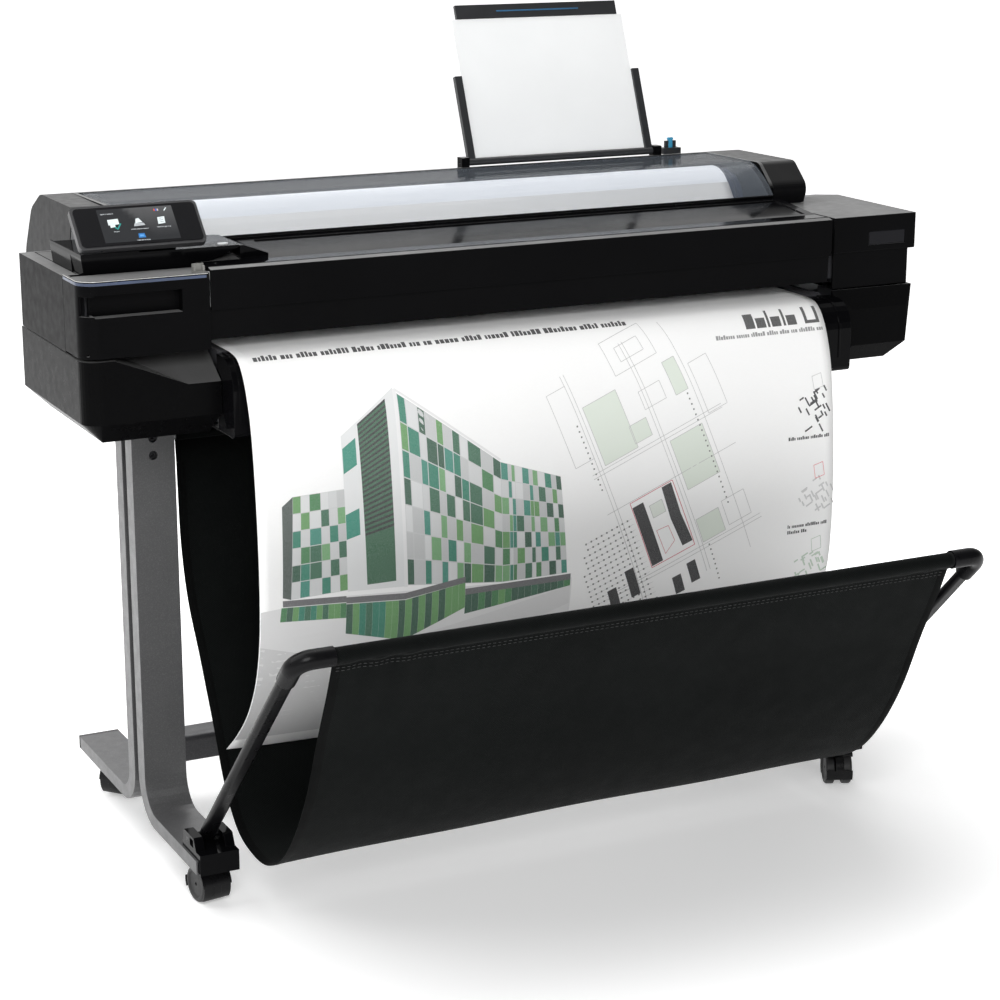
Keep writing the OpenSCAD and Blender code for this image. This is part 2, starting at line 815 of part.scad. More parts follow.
module chassis() {
    color("#8c9096") at_origin() difference() {
        union() {
            // lower box beam that the legs carry
            difference() {
                box([-600, 600], [-100, -14], [651, 735]);
                box([-601, 601], [-100 + beam_t, -14 - beam_t], [651 + beam_t, 735 - beam_t]);
            }
            // upper beam behind the web
            box([-646, 646], [-62, -50], [770, 835]);
            for (x = plate_x) along_x([x, x + plate_t]) polygon([
                [-180, 655], [8, 655], [30, 690], [30, 735], [-40, 735], [-50, 835], [-62, 835],
                [-62, 760], [-120, 760], [-122, 773], [-142, 773], [-144, 760], [-180, 752]
            ]);
        }
        rod_x([-700, 700], [feed_y, feed_z], 5 + hinge_gap);
        rod_x([-700, 700], [feed_y, pinch_z], 2.5 + hinge_gap);
    }
}

module base_tray() {
    color("#202020") at_origin() difference() {
        union() {
            box(inner_x, [-230, rear_y], [body_bottom, body_bottom + 3.8]);
            box(inner_x, [rear_y - wall, rear_y], [body_bottom, 738]);
        }
        box([300, 330], [0, 60], [690, 714]);
    }
}

module platen() {
    x = [-467, 497];
    top = 755;
    pitch = 24;
    color("#2a2a2a") at_origin() {
        box(x, [-230, -148], [738, top]);
        for (i = [0:floor((x[1] - x[0]) / pitch)])
            box([x[0] + i * pitch, x[0] + i * pitch + 2], [-230, -150], [top - 0.5, top + 2]);
        for (i = [0:4])
            box([x[0] + 4 + i * 230, x[0] + 8 + i * 230], [-226, -160], [651, 739]);
    }
}

module output_guide() {
    function shell(t) = rounded([
        [-231, 753 - t, 0], [-293 + t, 753 - t, 40 - t], [-293 + t, 648 + t, 8 - t],
        [-231, 648 + t, 0]
    ]);
    color("#121212") at_origin() {
        difference() {
            along_x(inner_x) polygon(shell(0));
            along_x([inner_x[0] + wall, inner_x[1] - wall]) polygon(shell(wall));
            box([inner_x[0] + wall, inner_x[1] - wall], [-240, -200], [652, 749]);
        }
        // ribs that the sheet glides over
        for (i = [0:19]) let(x = inner_x[0] + 8 + i * 50)
            along_x([x, x + 3]) difference() {
                polygon(shell(-1.6));
                polygon(shell(1));
                translate([-260, 600]) square([60, 110]);
                translate([-300, 600]) square([100, 70]);
            }
    }
}

module carriage_rail() {
    color("#a8acb0") at_origin() {
        difference() {
            box([-646, 646], rail_y, rail_z);
            box([-647, 647], [rail_y[0] + 2, rail_y[1] - 2], [rail_z[0] + 2, rail_z[1] - 2]);
        }
        for (x = [[-646, -632], [632, 646]])
            box(x, [rail_y[1], -62], [rail_z[0], rail_z[1]]);
        // shelf and pin of the idler pulley
        box([-646, -596], [rail_y[1], -70], [rail_z[1] - 6, rail_z[1]]);
        translate([-pulley_x, pulley_y, rail_z[1] - 1]) cylinder(h = 18, r = 3);
    }
}

module carriage_motor() {
    color("#606468") at_origin() translate([pulley_x, pulley_y, 0]) {
        translate([0, 0, 792]) cylinder(h = 38, r = 15.5);
        translate([0, 0, 829]) cylinder(h = 20, r = 3);
    }
}

module pulley(x) {
    color("#c0c0c0") at_origin() translate([x, pulley_y, 836.5]) difference() {
        union() {
            cylinder(h = 11, r = pulley_r);
            cylinder(h = 2, r = pulley_r + 3);
            translate([0, 0, 9.5]) cylinder(h = 1.5, r = pulley_r + 3);
        }
        translate([0, 0, -1]) cylinder(h = 20, r = 3 + hinge_gap);
        // timing mark
        translate([pulley_r + 1, 0, -1]) cylinder(h = 20, r = 0.8);
    }
}

module motor_pulley() { pulley(pulley_x); }
module idler_pulley() { pulley(-pulley_x); }

module drive_belt() {
    gap = 0.4;
    color("#303030") at_origin() translate([0, pulley_y, 840]) linear_extrude(5)
        difference() {
            belt_loop(pulley_r + gap + 1.4);
            belt_loop(pulley_r + gap);
        }
}

module belt_loop(r) {
    square([2 * pulley_x, 2 * r], center = true);
    for (s = [-1, 1]) translate([s * pulley_x, 0]) circle(r = r);
}

module carriage() {
    x = [carriage_x - carriage_w / 2, carriage_x + carriage_w / 2];
    color("#383c40") at_origin() {
        difference() {
            box(x, [-222, rail_y[0] - 0.4], [776, 850]);
            box([x[0] + wall, x[1] - wall], [-219, -150], [779, 851]);
        }
        // hook over the rail
        box(x, [rail_y[0] - 1, rail_y[1] + 3.6], [rail_z[1] + 0.6, rail_z[1] + 5]);
        box(x, [rail_y[1] + 0.6, rail_y[1] + 3.6], [rail_z[1] - 8, rail_z[1] + 5]);
    }
}

module print_head() {
    color("#707880") at_origin() {
        box([carriage_x - 30, carriage_x + 30], [-212, -152], [763, 775.8]);
        box([carriage_x - 20, carriage_x + 20], [-200, -164], [761.6, 764]);
    }
}

module feed_roller() {
    color("#303438") at_origin() {
        rod_x([plate_x[0], plate_x[1] + plate_t], [feed_y, feed_z], 5);
        rod_x([-466, 496], [feed_y, feed_z], feed_r);
    }
}

module pinch_rollers() {
    pitch = 60;
    color("#202020") at_origin() {
        rod_x([plate_x[0], plate_x[1] + plate_t], [feed_y, pinch_z], 2.5);
        for (i = [0:14])
            rod_x([-440 + i * pitch, -440 + i * pitch + 36], [feed_y, pinch_z], pinch_r);
    }
}

module service_station() {
    color("#3a3a3a") at_origin() {
        box([550, 618], [-212, -142], [653, 750]);
        for (y = [-206, -182, -158]) box([556, 612], [y, y + 12], [750, 758]);
    }
}

bay_pitch = 28;
bay_left = -644;

module cartridge_bay() {
    color("#222222") at_origin() {
        box([bay_left - 3, -521], [-216, -124.5], [765, 769.5]);
        // lugs that carry the door's pin
        for (x = [-625.5, -526]) difference() {
            union() {
                rod_x([x, x + 5], door_hinge, 2.7);
                box([x, x + 5], [door_hinge[0], -215], [766.6, 771.4]);
            }
            rod_x([x - 1, x + 6], door_hinge, pin_r + 0.02);
        }
        box([bay_left - 3, bay_left + 4 * bay_pitch + 3], [-128, -124.5], [769, 848]);
        for (i = [0:4])
            box([bay_left + i * bay_pitch - 1, bay_left + i * bay_pitch + 1], [-204, -127],
                [769, 800]);
    }
}

module ink_cartridges() {
    inks = ["#101010", "#00a0d0", "#d02080", "#f0d020"];
    at_origin() for (i = [0:3]) color(inks[i])
        box([bay_left + i * bay_pitch + 1.5, bay_left + (i + 1) * bay_pitch - 1.5],
            [-214, -128.5], [770, 842]);
}

module main_board() {
    color("#1c5a38") at_origin() {
        box([-300, -60], [-10, -8], [656, 732]);
        for (x = [-280, -220, -150, -100])
            box([x, x + 24], [-8.2, -4], [680, 704]);
    }
}

module power_supply() {
    t = 1.5;
    color("#9a9ea2") at_origin() difference() {
        box([60, 260], [-10, 34], [652, 733]);
        box([60 + t, 260 - t], [-10 + t, 34 - t], [652 + t, 734]);
    }
}

module power_inlet() {
    color("#101010") at_origin() difference() {
        box([300.2, 329.8], [14, rear_y + 1], [690.2, 713.8]);
        box([304, 326], [22, rear_y + 2], [694, 710]);
    }
}

// ---- sheet feeder ----

tray_x = [74, 399];

module in_tray() {
    translate([0, tray_hinge[0], tray_hinge[1]]) rotate([-tray_lean, 0, 0]) children();
}

module tray_arms() {
    slat_w = 12;
    slat_h = 135;
    head_h = 22;
    color("#1c1e20") at_origin() difference() {
        union() {
            rod_x([tray_x[0] - 0.5, tray_x[1] + 0.5], tray_hinge, 5.6);
            in_tray() {
                for (x = [tray_x[0], tray_x[1] - slat_w])
                    box([x, x + slat_w], [-4, 4], [0, slat_h]);
                box([95, 378], [-1.5, 4.5], [plate_h - head_h, plate_h]);
            }
        }
        rod_x([60, 420], tray_hinge, pin_r + hinge_gap);
    }
}

module sheet_plate() {
    color("#f4f6f6") at_origin() in_tray()
        box([tray_x[0] + 12.2, tray_x[1] - 12.2], [0, 1.4], [6, plate_h - 22.2]);
}

module width_guide() {
    color("#1a4c78") at_origin() {
        box([418, 450], [112, 128], [931.6, 941]);
        box([424, 444], [118, 122], [940, 952]);
    }
}

// ---- hinge pins ----

module hinge_pins() {
    ear = bracket_w / 2;
    color("silver") at_origin() {
        both_sides() rod_x([leg_x - ear, leg_x + ear], arm_hinge, 4);
        rod_x([-646, -500], door_hinge, pin_r);
        for (x = [cover_x[0] + 22, cover_x[1] - 58]) rod_x([x, x + 34], front_hinge, pin_r);
        rod_x([bay_x[0], bay_x[0] + 30], lid_hinge, pin_r);
        rod_x([bay_x[1] - 30, bay_x[1]], lid_hinge, pin_r);
        rod_x([62, 90], tray_hinge, pin_r);
        rod_x([383, 411], tray_hinge, pin_r);
    }
}

// ---- drawing ----

leg_left();
leg_right();
leg_trim();
leg_bolts();
crossbar();
foot_brackets();
hinge_pins();
caster_stems();
fabric_rod();
chassis();
base_tray();
left_lower_housing();
left_upper_housing();
right_lower_housing();
right_upper_housing();
touch_deck();
touch_panel();
touch_glass();
top_deck();
platen();
output_guide();
carriage_rail();
carriage_motor();
drive_belt();
service_station();
cartridge_bay();
ink_cartridges();
main_board();
power_supply();
power_inlet();
bay_shell();
hood_cap_left();
hood_cap_right();
paper_sheet();
cartridge_door();
front_cover();
cover_window();
cover_trim();
power_button();
carriage();
print_head();
motor_pulley();
idler_pulley();
feed_roller();
pinch_rollers();
paper_roll();
spindle();
sheet_plate();
tray_arms();
width_guide();
basket_frame();
basket_fabric();
caster_hood_fl();
caster_hood_fr();
caster_hood_rl();
caster_hood_rr();
caster_wheels_fl();
caster_wheels_fr();
caster_wheels_rl();
caster_wheels_rr();
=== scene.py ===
import math
import random

import bmesh
import bpy
import numpy as np
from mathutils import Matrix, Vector


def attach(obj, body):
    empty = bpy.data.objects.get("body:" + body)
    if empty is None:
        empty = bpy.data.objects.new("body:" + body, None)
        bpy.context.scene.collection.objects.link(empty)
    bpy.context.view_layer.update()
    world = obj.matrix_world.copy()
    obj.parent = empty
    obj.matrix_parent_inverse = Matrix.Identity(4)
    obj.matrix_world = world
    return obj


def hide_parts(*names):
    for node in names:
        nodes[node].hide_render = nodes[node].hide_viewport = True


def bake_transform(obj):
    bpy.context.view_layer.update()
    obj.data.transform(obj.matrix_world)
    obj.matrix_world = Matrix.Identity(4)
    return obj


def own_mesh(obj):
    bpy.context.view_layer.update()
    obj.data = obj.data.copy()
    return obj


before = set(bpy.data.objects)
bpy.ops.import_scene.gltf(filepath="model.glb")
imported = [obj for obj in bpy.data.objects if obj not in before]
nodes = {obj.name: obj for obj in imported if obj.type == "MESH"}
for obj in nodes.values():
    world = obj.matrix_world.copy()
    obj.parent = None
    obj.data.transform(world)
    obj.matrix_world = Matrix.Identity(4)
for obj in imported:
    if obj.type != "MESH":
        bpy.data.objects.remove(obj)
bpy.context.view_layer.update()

MM = 0.001
SHIFT_Y, LIFT = 0.2, 12.0    # from the stand's datum, used for the lengths below, to the row frame
LEFT, RIGHT = -1, 1


def at(x, y, z):
    """A point given in millimetres from the stand's datum, in the row frame."""
    return Vector((x * MM, y * MM + SHIFT_Y, (z + LIFT) * MM))


# ---- camera, floor and light ----

def make_camera():
    data = bpy.data.cameras.new("camera")
    data.lens, data.sensor_width = 87.6, 36.0
    camera = bpy.data.objects.new("camera", data)
    camera.location = (-1.5514, -3.0641, 1.4331)
    camera.rotation_euler = (math.radians(74.76), 0.0, math.radians(-26.42))
    bpy.context.scene.collection.objects.link(camera)
    bpy.context.scene.camera = camera


def make_light(name, place, aim, size, watts, color=(1, 1, 1)):
    data = bpy.data.lights.new(name, "AREA")
    data.shape, data.size, data.energy, data.color = "DISK", size, watts, color
    lamp = bpy.data.objects.new(name, data)
    lamp.location = place
    lamp.rotation_euler = (Vector(aim) - Vector(place)).to_track_quat("-Z", "Y").to_euler()
    bpy.context.scene.collection.objects.link(lamp)


def smooth_ramp(tree, source, *limits):
    """Eases source from one range to another: From Min, From Max, To Min and To Max."""
    ramp = tree.nodes.new("ShaderNodeMapRange")
    ramp.interpolation_type = "SMOOTHSTEP"
    for key, value in zip(("From Min", "From Max", "To Min", "To Max"), limits):
        ramp.inputs[key].default_value = value
    tree.links.new(source, ramp.inputs["Value"])
    return ramp.outputs["Result"]


def joined(tree, operation, a, b):
    node = tree.nodes.new("ShaderNodeMath")
    node.operation = operation
    tree.links.new(a, node.inputs[0])
    tree.links.new(b, node.inputs[1])
    return node.outputs[0]


def make_world():
    """Soft studio surroundings: bright behind and to the left, dimmer in front to the right."""
    bright_side, dimmest, diffuse_share = (-0.62, 0.72, 0.32), 0.10, 0.05
    world = bpy.data.worlds.new("studio")
    bpy.context.scene.world = world
    world.use_nodes = True
    tree = world.node_tree
    background = tree.nodes["Background"]
    coords = tree.nodes.new("ShaderNodeTexCoord")
    toward = tree.nodes.new("ShaderNodeVectorMath")
    toward.operation = "DOT_PRODUCT"
    toward.inputs[1].default_value = bright_side
    tree.links.new(coords.outputs["Generated"], toward.inputs[0])
    gradient = smooth_ramp(tree, toward.outputs["Value"], -0.45, 0.45, dimmest, 1.0)
    background.inputs["Color"].default_value = (1, 1, 1, 1)
    # reflections see the gradient, diffuse light gets a small share of it because the lamps
    # light the object, and any camera sees plain white
    rays = tree.nodes.new("ShaderNodeLightPath")
    dim = tree.nodes.new("ShaderNodeMapRange")
    dim.inputs["To Min"].default_value = 1.0
    dim.inputs["To Max"].default_value = diffuse_share
    tree.links.new(rays.outputs["Is Diffuse Ray"], dim.inputs["Value"])
    lighting = joined(tree, "MULTIPLY", gradient, dim.outputs["Result"])
    strength = joined(tree, "MAXIMUM", lighting, rays.outputs["Is Camera Ray"])
    tree.links.new(strength, background.inputs["Strength"])


def make_floor():
    half, near, far, near_glow = 30.0, 0.3, 1.5, 0.28
    mesh = bpy.data.meshes.new("floor")
    mesh.from_pydata([(-half, -half, 0), (half, -half, 0), (half, half, 0), (-half, half, 0)],
                     [], [(0, 1, 2, 3)])
    floor = bpy.data.objects.new("floor", mesh)
    bpy.context.scene.collection.objects.link(floor)
    finish = bpy.data.materials.new("floor")
    finish.use_nodes = True
    tree = finish.node_tree
    shader = tree.nodes["Principled BSDF"]
    shader.inputs["Base Color"].default_value = (0.86, 0.86, 0.86, 1)
    shader.inputs["Roughness"].default_value = 0.7
    shader.inputs["Emission Color"].default_value = (1, 1, 1, 1)
    # away from the object the sweep glows evenly, as a lit backdrop does
    coords = tree.nodes.new("ShaderNodeTexCoord")
    distance = tree.nodes.new("ShaderNodeVectorMath")
    distance.operation = "LENGTH"
    tree.links.new(coords.outputs["Object"], distance.inputs[0])
    glow = smooth_ramp(tree, distance.outputs["Value"], near, far, near_glow, 1.0)
    tree.links.new(glow, shader.inputs["Emission Strength"])
    mesh.materials.append(finish)


make_camera()
make_world()
make_floor()
make_light("key", (-2.4, 0.9, 3.2), (0, 0.1, 0.5), 3.6, 80)
make_light("top", (0.3, 1.7, 3.4), (0, 0, 0.4), 4.0, 80)
make_light("front", (-1.6, -3.4, 2.6), (0, 0, 0.6), 2.0, 120)
bpy.context.scene.view_settings.view_transform = "Standard"


# ---- finishes ----

class Finish:
    """A procedural material: its base colour, roughness and relief all vary over the surface."""

    def __init__(self, name, color, rough, metallic=0.0, **sockets):
        self.material = bpy.data.materials.new(name)
        self.material.use_nodes = True
        self.tree = self.material.node_tree
        self.shader = self.tree.nodes["Principled BSDF"]
        self.color, self.rough = color, rough
        self.shader.inputs["Metallic"].default_value = metallic
        for key, value in sockets.items():
            self.shader.inputs[key.replace("_", " ")].default_value = value
        self.coords = self.add("ShaderNodeTexCoord").outputs["Object"]
        self.normal = None

    def add(self, kind, inputs=(), **settings):
        node = self.tree.nodes.new(kind)
        for key, value in settings.items():
            setattr(node, key, value)
        for key, value in dict(inputs).items():
            self.put(node.inputs[key], value)
        return node

    def put(self, socket, value):
        if isinstance(value, bpy.types.NodeSocket):
            self.tree.links.new(value, socket)
        else:
            socket.default_value = value

    def stretched(self, scale):
        return self.add("ShaderNodeMapping", {"Vector": self.coords, "Scale": scale}).outputs[0]

    def noise(self, scale, detail=3.0, vector=None):
        return self.add("ShaderNodeTexNoise", {
            "Vector": vector or self.coords, "Scale": scale, "Detail": detail}).outputs["Fac"]

    def math(self, operation, a, b=0.0):
        return self.add("ShaderNodeMath", {0: a, 1: b}, operation=operation).outputs[0]

    def spread(self, value, low, high, start=0.3, end=0.7):
        return self.add("ShaderNodeMapRange", {
            "Value": value, "From Min": start, "From Max": end, "To Min": low, "To Max": high,
        }).outputs["Result"]

    def mix(self, share, a, b):
        node = self.add("ShaderNodeMix", data_type="RGBA")
        self.put(node.inputs[0], share)
        self.put(node.inputs[6], a)
        self.put(node.inputs[7], b)
        return node.outputs[2]

    def vary(self, tone=0.12, scale=9.0, sheen=0.07, fine=70.0):
        """Slow changes of tone and quicker ones of roughness, such as handling leaves."""
        base = np.array(self.color[:3])
        low, high = (tuple(np.clip(base * (1 + s * tone), 0, 1)) + (1.0,) for s in (-1, 1))
        self.tint = self.mix(self.spread(self.noise(scale), 0.0, 1.0), low, high)
        self.gloss = self.spread(self.noise(fine, 4.0), self.rough - sheen, self.rough + sheen)
        return self

    def edges(self, radius=0.8, wear=0.0, worn=(0.3, 0.3, 0.3)):
        """Rounded edges that catch the light, and their worn tone."""
        bevel = self.add("ShaderNodeBevel", {"Radius": radius * MM}, samples=4).outputs[0]
        self.normal = bevel
        if wear:
            flat = self.add("ShaderNodeNewGeometry").outputs["True Normal"]
            turn = self.add("ShaderNodeVectorMath", {0: bevel, 1: flat}, operation="DOT_PRODUCT")
            edge = self.spread(turn.outputs["Value"], wear, 0.0, 0.75, 0.985)
            patchy = self.spread(self.noise(110.0, 5.0), 0.2, 1.0)
            self.tint = self.mix(self.math("MULTIPLY", edge, patchy), self.tint, (*worn, 1))
        return self

    def paint_top_sheen(self, tone):
        """Painted sheen: a thin even lightening of the colour of faces that look up, in place of
        the light they reflect.
        """
        up = self.add("ShaderNodeNewGeometry").outputs["Normal"]
        z = self.add("ShaderNodeSeparateXYZ", {"Vector": up}).outputs["Z"]
        share = self.spread(z, 0.0, 1.0, 0.35, 1.0)
        patchy = self.spread(self.noise(14.0, 5.0), 0.8, 1.0)
        self.tint = self.mix(self.math("MULTIPLY", share, patchy), self.tint, (*(tone,) * 3, 1))

    def relief(self, height, depth, strength=1.0):
        """Bump whose height field is height, 0 to 1, and depth millimetres deep."""
        inputs = {"Height": height, "Distance": depth * MM, "Strength": strength}
        if self.normal is not None:
            inputs["Normal"] = self.normal
        self.normal = self.add("ShaderNodeBump", inputs).outputs[0]
        return self

    def done(self):
        self.put(self.shader.inputs["Base Color"], self.tint)
        self.put(self.shader.inputs["Roughness"], self.gloss)
        if self.normal is not None:
            self.put(self.shader.inputs["Normal"], self.normal)
        return self.material


def moulded(name, color, rough, grain=0.03, wear=0.25, edge=0.8, level=0.5, top_sheen=0.0, tone=0.14):
    """Moulded plastic with a spark-eroded grain, polished edges and a painted sheen on its upper
    faces.
    """
    f = Finish(name, color, rough, Specular_IOR_Level=level).vary(tone, 7.0, 0.05)
    # painted sheen: faces that look up are drawn towards this grey
    if top_sheen:
        f.paint_top_sheen(top_sheen)
    f.edges(edge, wear, tuple(min(1.0, 3 * c + 0.02) for c in color))
    return f.relief(f.noise(1300.0, 2.0), grain).relief(f.noise(26.0), 0.08, 0.6).done()


def glossy(name, color, rough=0.1, wear=0.15, edge=0.7):
    """Polished plastic: faint waviness and finger marks."""
    f = Finish(name, color, rough, Specular_IOR_Level=0.06).vary(0.1, 5.0, 0.03, 22.0)
    f.edges(edge, wear, (0.06, 0.06, 0.065))
    return f.relief(f.noise(16.0), 0.12, 0.7).done()


def painted(name, color, rough=0.4, metallic=0.3):
    """Powder-coated steel: orange peel, a metallic fleck and rubbed edges."""
    f = Finish(name, color, rough, metallic).vary(0.07, 6.0, 0.06)
    flecks = f.add("ShaderNodeTexVoronoi", {"Vector": f.coords, "Scale": 900.0}).outputs["Color"]
    bright = tuple(min(1.0, 1.5 * c + 0.03) for c in color) + (1.0,)
    f.tint = f.mix(f.spread(flecks, 0.0, 0.5, 0.5, 1.0), f.tint, bright)
    f.edges(1.2, 0.35, tuple(min(1.0, 2.2 * c) for c in color))
    return f.relief(f.noise(420.0, 2.0), 0.05).done()


def brushed(name, color, rough=0.3, along=(1.0, 60.0, 60.0)):
    """Drawn or rolled metal with fine lines along one direction."""
    f = Finish(name, color, rough, 1.0).vary(0.1, 12.0, 0.06)
    lines = f.noise(30.0, 5.0, f.stretched(along))
    f.gloss = f.spread(lines, rough - 0.1, rough + 0.15)
    f.edges(0.4, 0.3, (0.8, 0.8, 0.8))
    return f.relief(lines, 0.03).done()


def rubber(name, color, rough=0.75):
    f = Finish(name, color, rough).vary(0.2, 20.0, 0.08)
    f.edges(0.8, 0.3, (0.07, 0.07, 0.07))
    return f.relief(f.noise(700.0, 4.0), 0.08).done()


def paint(material, *names):
    for name in names:
        slots = nodes[name].data.materials
        slots.clear()
        slots.append(material)


# The keyword after level in the next three lines sets the grey of the painted sheen on their upward
# faces.
shell = moulded("shell_black", (0.0024, 0.0024, 0.0027), 0.36, level=0.03, top_sheen=0.2)
shell_dark = moulded("lower_black", (0.0018, 0.0018, 0.002), 0.30, level=0.03, top_sheen=0.11)
cap_grey = moulded("cap_black", (0.005, 0.005, 0.0055), 0.34, level=0.07, top_sheen=0.035)
gloss_black = glossy("gloss_black", (0.002, 0.002, 0.0024))
satin_black = moulded("arm_black", (0.0035, 0.0035, 0.004), 0.3, 0.015, level=0.1)
engine_grey = moulded("engine_grey", (0.045, 0.045, 0.05), 0.45)
leg_grey = painted("leg_grey", (0.085, 0.085, 0.087), 0.38)
bar_grey = painted("bar_grey", (0.04, 0.04, 0.043), 0.42)
steel = brushed("steel", (0.55, 0.56, 0.58))
sheet_steel = brushed("galvanised", (0.48, 0.5, 0.52), 0.42, (8.0, 8.0, 8.0))

paint(shell, "left_upper_housing", "right_upper_housing", "cartridge_door", "front_cover",
      "bay_shell", "base_tray")
paint(shell_dark, "left_lower_housing", "right_lower_housing", "leg_trim")
paint(cap_grey, "hood_cap_left", "hood_cap_right")
paint(gloss_black, "foot_brackets", "output_guide", "top_deck", "touch_deck")
paint(satin_black, "basket_frame", "cover_trim")
paint(engine_grey, "platen", "service_station", "cartridge_bay", "carriage", "print_head",
      "power_inlet", "ink_cartridges")
paint(leg_grey, "leg_left", "leg_right")
paint(bar_grey, "crossbar")
paint(steel, "caster_stems", "fabric_rod", "carriage_rail", "carriage_motor",
      "motor_pulley", "idler_pulley")
paint(brushed("black_oxide", (0.03, 0.03, 0.032), 0.35), "hinge_pins", "leg_bolts")
paint(sheet_steel, "chassis", "power_supply")


# ---- meshes ----

def catmull(points, steps):
    """Smooth curve through the points, steps pieces between each two."""
    p = [np.array(q, float) for q in points]
    line = []
    for i in range(len(p) - 1):
        a, b, c, d = p[max(i - 1, 0)], p[i], p[i + 1], p[min(i + 2, len(p) - 1)]
        for k in range(steps):
            t = k / steps
            line.append(0.5 * (2 * b + (c - a) * t + (2 * a - 5 * b + 4 * c - d) * t ** 2
                               + (3 * b - a - 3 * c + d) * t ** 3))
    return np.array(line + [p[-1]])


class Ribbon:
    """The side line of a sheet that runs along X: (y, z) points by their distance along it."""

    def __init__(self, line):
        self.line = np.array(line, float)
        steps = np.linalg.norm(np.diff(self.line, axis=0), axis=1)
        self.s = np.concatenate([[0.0], np.cumsum(steps)])
        self.length = self.s[-1]

    def point(self, s):
        return np.array([np.interp(s, self.s, self.line[:, k]) for k in (0, 1)])

    def outward(self, s):
        step = 2.0
        d = self.point(min(s + step, self.length)) - self.point(max(s - step, 0.0))
        d /= np.linalg.norm(d)
        return np.array([d[1], -d[0]])

    def place(self, x, s, lift=0.0):
        y, z = self.point(s) + self.outward(s) * lift
        return at(x, y, z)


def new_piece(name, mesh, body, material):
    piece = bpy.data.objects.new(name, mesh)
    bpy.context.scene.collection.objects.link(piece)
    if material is not None:
        mesh.materials.append(material)
    if body is not None:
        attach(piece, body)
    return piece


def grid_mesh(name, us, vs, place):
    """Grid of quads over us and vs, with its UV map in metres of cloth or paper."""
    mesh = bpy.data.meshes.new(name)
    n = len(us)
    rows = [place(u, v) for v in vs for u in us]
    faces = [(r * n + c, r * n + c + 1, (r + 1) * n + c + 1, (r + 1) * n + c)
             for r in range(len(vs) - 1) for c in range(n - 1)]
    mesh.from_pydata(rows, [], faces)
    layer = mesh.uv_layers.new(name="flat")
    for loop in mesh.loops:
        layer.data[loop.index].uv = (us[loop.vertex_index % n] * MM,
                                     vs[loop.vertex_index // n] * MM)
    mesh.shade_smooth()
    return mesh


def thicken(piece, thickness):
    modifier = piece.modifiers.new("thickness", "SOLIDIFY")
    modifier.thickness, modifier.offset = thickness * MM, 0.0


def closed_mesh(name, bm):
    bmesh.ops.recalc_face_normals(bm, faces=bm.faces[:])
    mesh = bpy.data.meshes.new(name)
    bm.to_mesh(mesh)
    bm.free()
    return mesh


def join_rings(bm, rings):
    """A closed solid through rings of vertices that match one to one."""
    n = len(rings[0])
    for a, b in zip(rings, rings[1:]):
        for k in range(n):
            bm.faces.new((a[k], a[(k + 1) % n], b[(k + 1) % n], b[k]))
    bm.faces.new(rings[0])
    bm.faces.new(rings[-1][::-1])


def box_mesh(name, boxes, bevel=0.0, to_world=None):
    """Bevelled blocks given by [low, high] corners in millimetres, moved by to_world."""
    to_world = to_world or (lambda p: at(*p))
    bm = bmesh.new()
    for low, high in boxes:
        size = [b - a for a, b in zip(low, high)]
        middle = [(a + b) / 2 for a, b in zip(low, high)]
        made = bmesh.ops.create_cube(bm, size=1.0)["verts"]
        for v in made:
            v.co = Vector([m + s * c for m, s, c in zip(middle, size, v.co)])
    if bevel:
        bmesh.ops.bevel(bm, geom=bm.edges[:], offset=bevel, segments=2, affect="EDGES")
    for v in bm.verts:
        v.co = to_world(v.co)
    return closed_mesh(name, bm)


# ---- basket fabric ----

ARM_HINGE = np.array([-265.0, 81.0])
ARM_L, ARM_LEAN = 508.0, math.radians(44.3)
BAR = ARM_HINGE + ARM_L * np.array([-math.sin(ARM_LEAN), math.cos(ARM_LEAN)])
BAR_SLEEVE = 10.4
ROD = np.array([-40.0, 598.0])
ROD_SLEEVE = 6.3
CLOTH_W = 934.0
CLOTH_T = 0.7
HEM = 16.0


def loop(centre, radius, start, sweep, steps=26):
    angles = np.radians(np.linspace(start, start + sweep, steps))
    return [centre + radius * np.array([math.cos(a), math.sin(a)]) for a in angles]


belly = catmull([
    (-42, 560), (-44, 520), (-50, 440), (-72, 362), (-118, 285), (-165, 200), (-205, 122),
    (-252, 74), (-310, 60), (-368, 66), (-425, 98), (-475, 152), (-520, 225), (-560, 315),
    (-594, 385), tuple(BAR + [6.6, -15.0])], 6)
bar_tail = BAR + [BAR_SLEEVE + 1.1, -2.0]
hem_dir = np.array([34.0, -52.0]) / math.hypot(34.0, 52.0)
cloth = Ribbon(
    loop(ROD, ROD_SLEEVE, 250, -330) + list(belly)
    + loop(BAR, BAR_SLEEVE, -110, -235, 30) + [bar_tail + hem_dir * HEM])


def gather(x, s):
    """Small folds where the sleeve is drawn along the bar, and the slack in the belly."""
    from_bar = max(0.0, 1.0 - (cloth.length - s - 60.0) / 130.0) if s < cloth.length - 60 else 0
    near_end = math.exp(-(((x + 400.0) / 70.0) ** 2)) + 0.5 * math.exp(-(((x - 420.0) / 50.0) ** 2))
    folds = 1.5 * from_bar * near_end * math.sin(x / 7.0)
    along = s / cloth.length
    slack = math.sin(math.pi * min(max((along - 0.12) / 0.76, 0.0), 1.0))
    ripple = (0.9 * math.sin(x / 61.0 + 1.3) * math.sin(s / 97.0)
              + 0.6 * math.sin(x / 143.0 + s / 51.0))
    side = 1.0 - (2 * x / CLOTH_W) ** 2
    return folds + slack * (ripple + 2.0 * side)


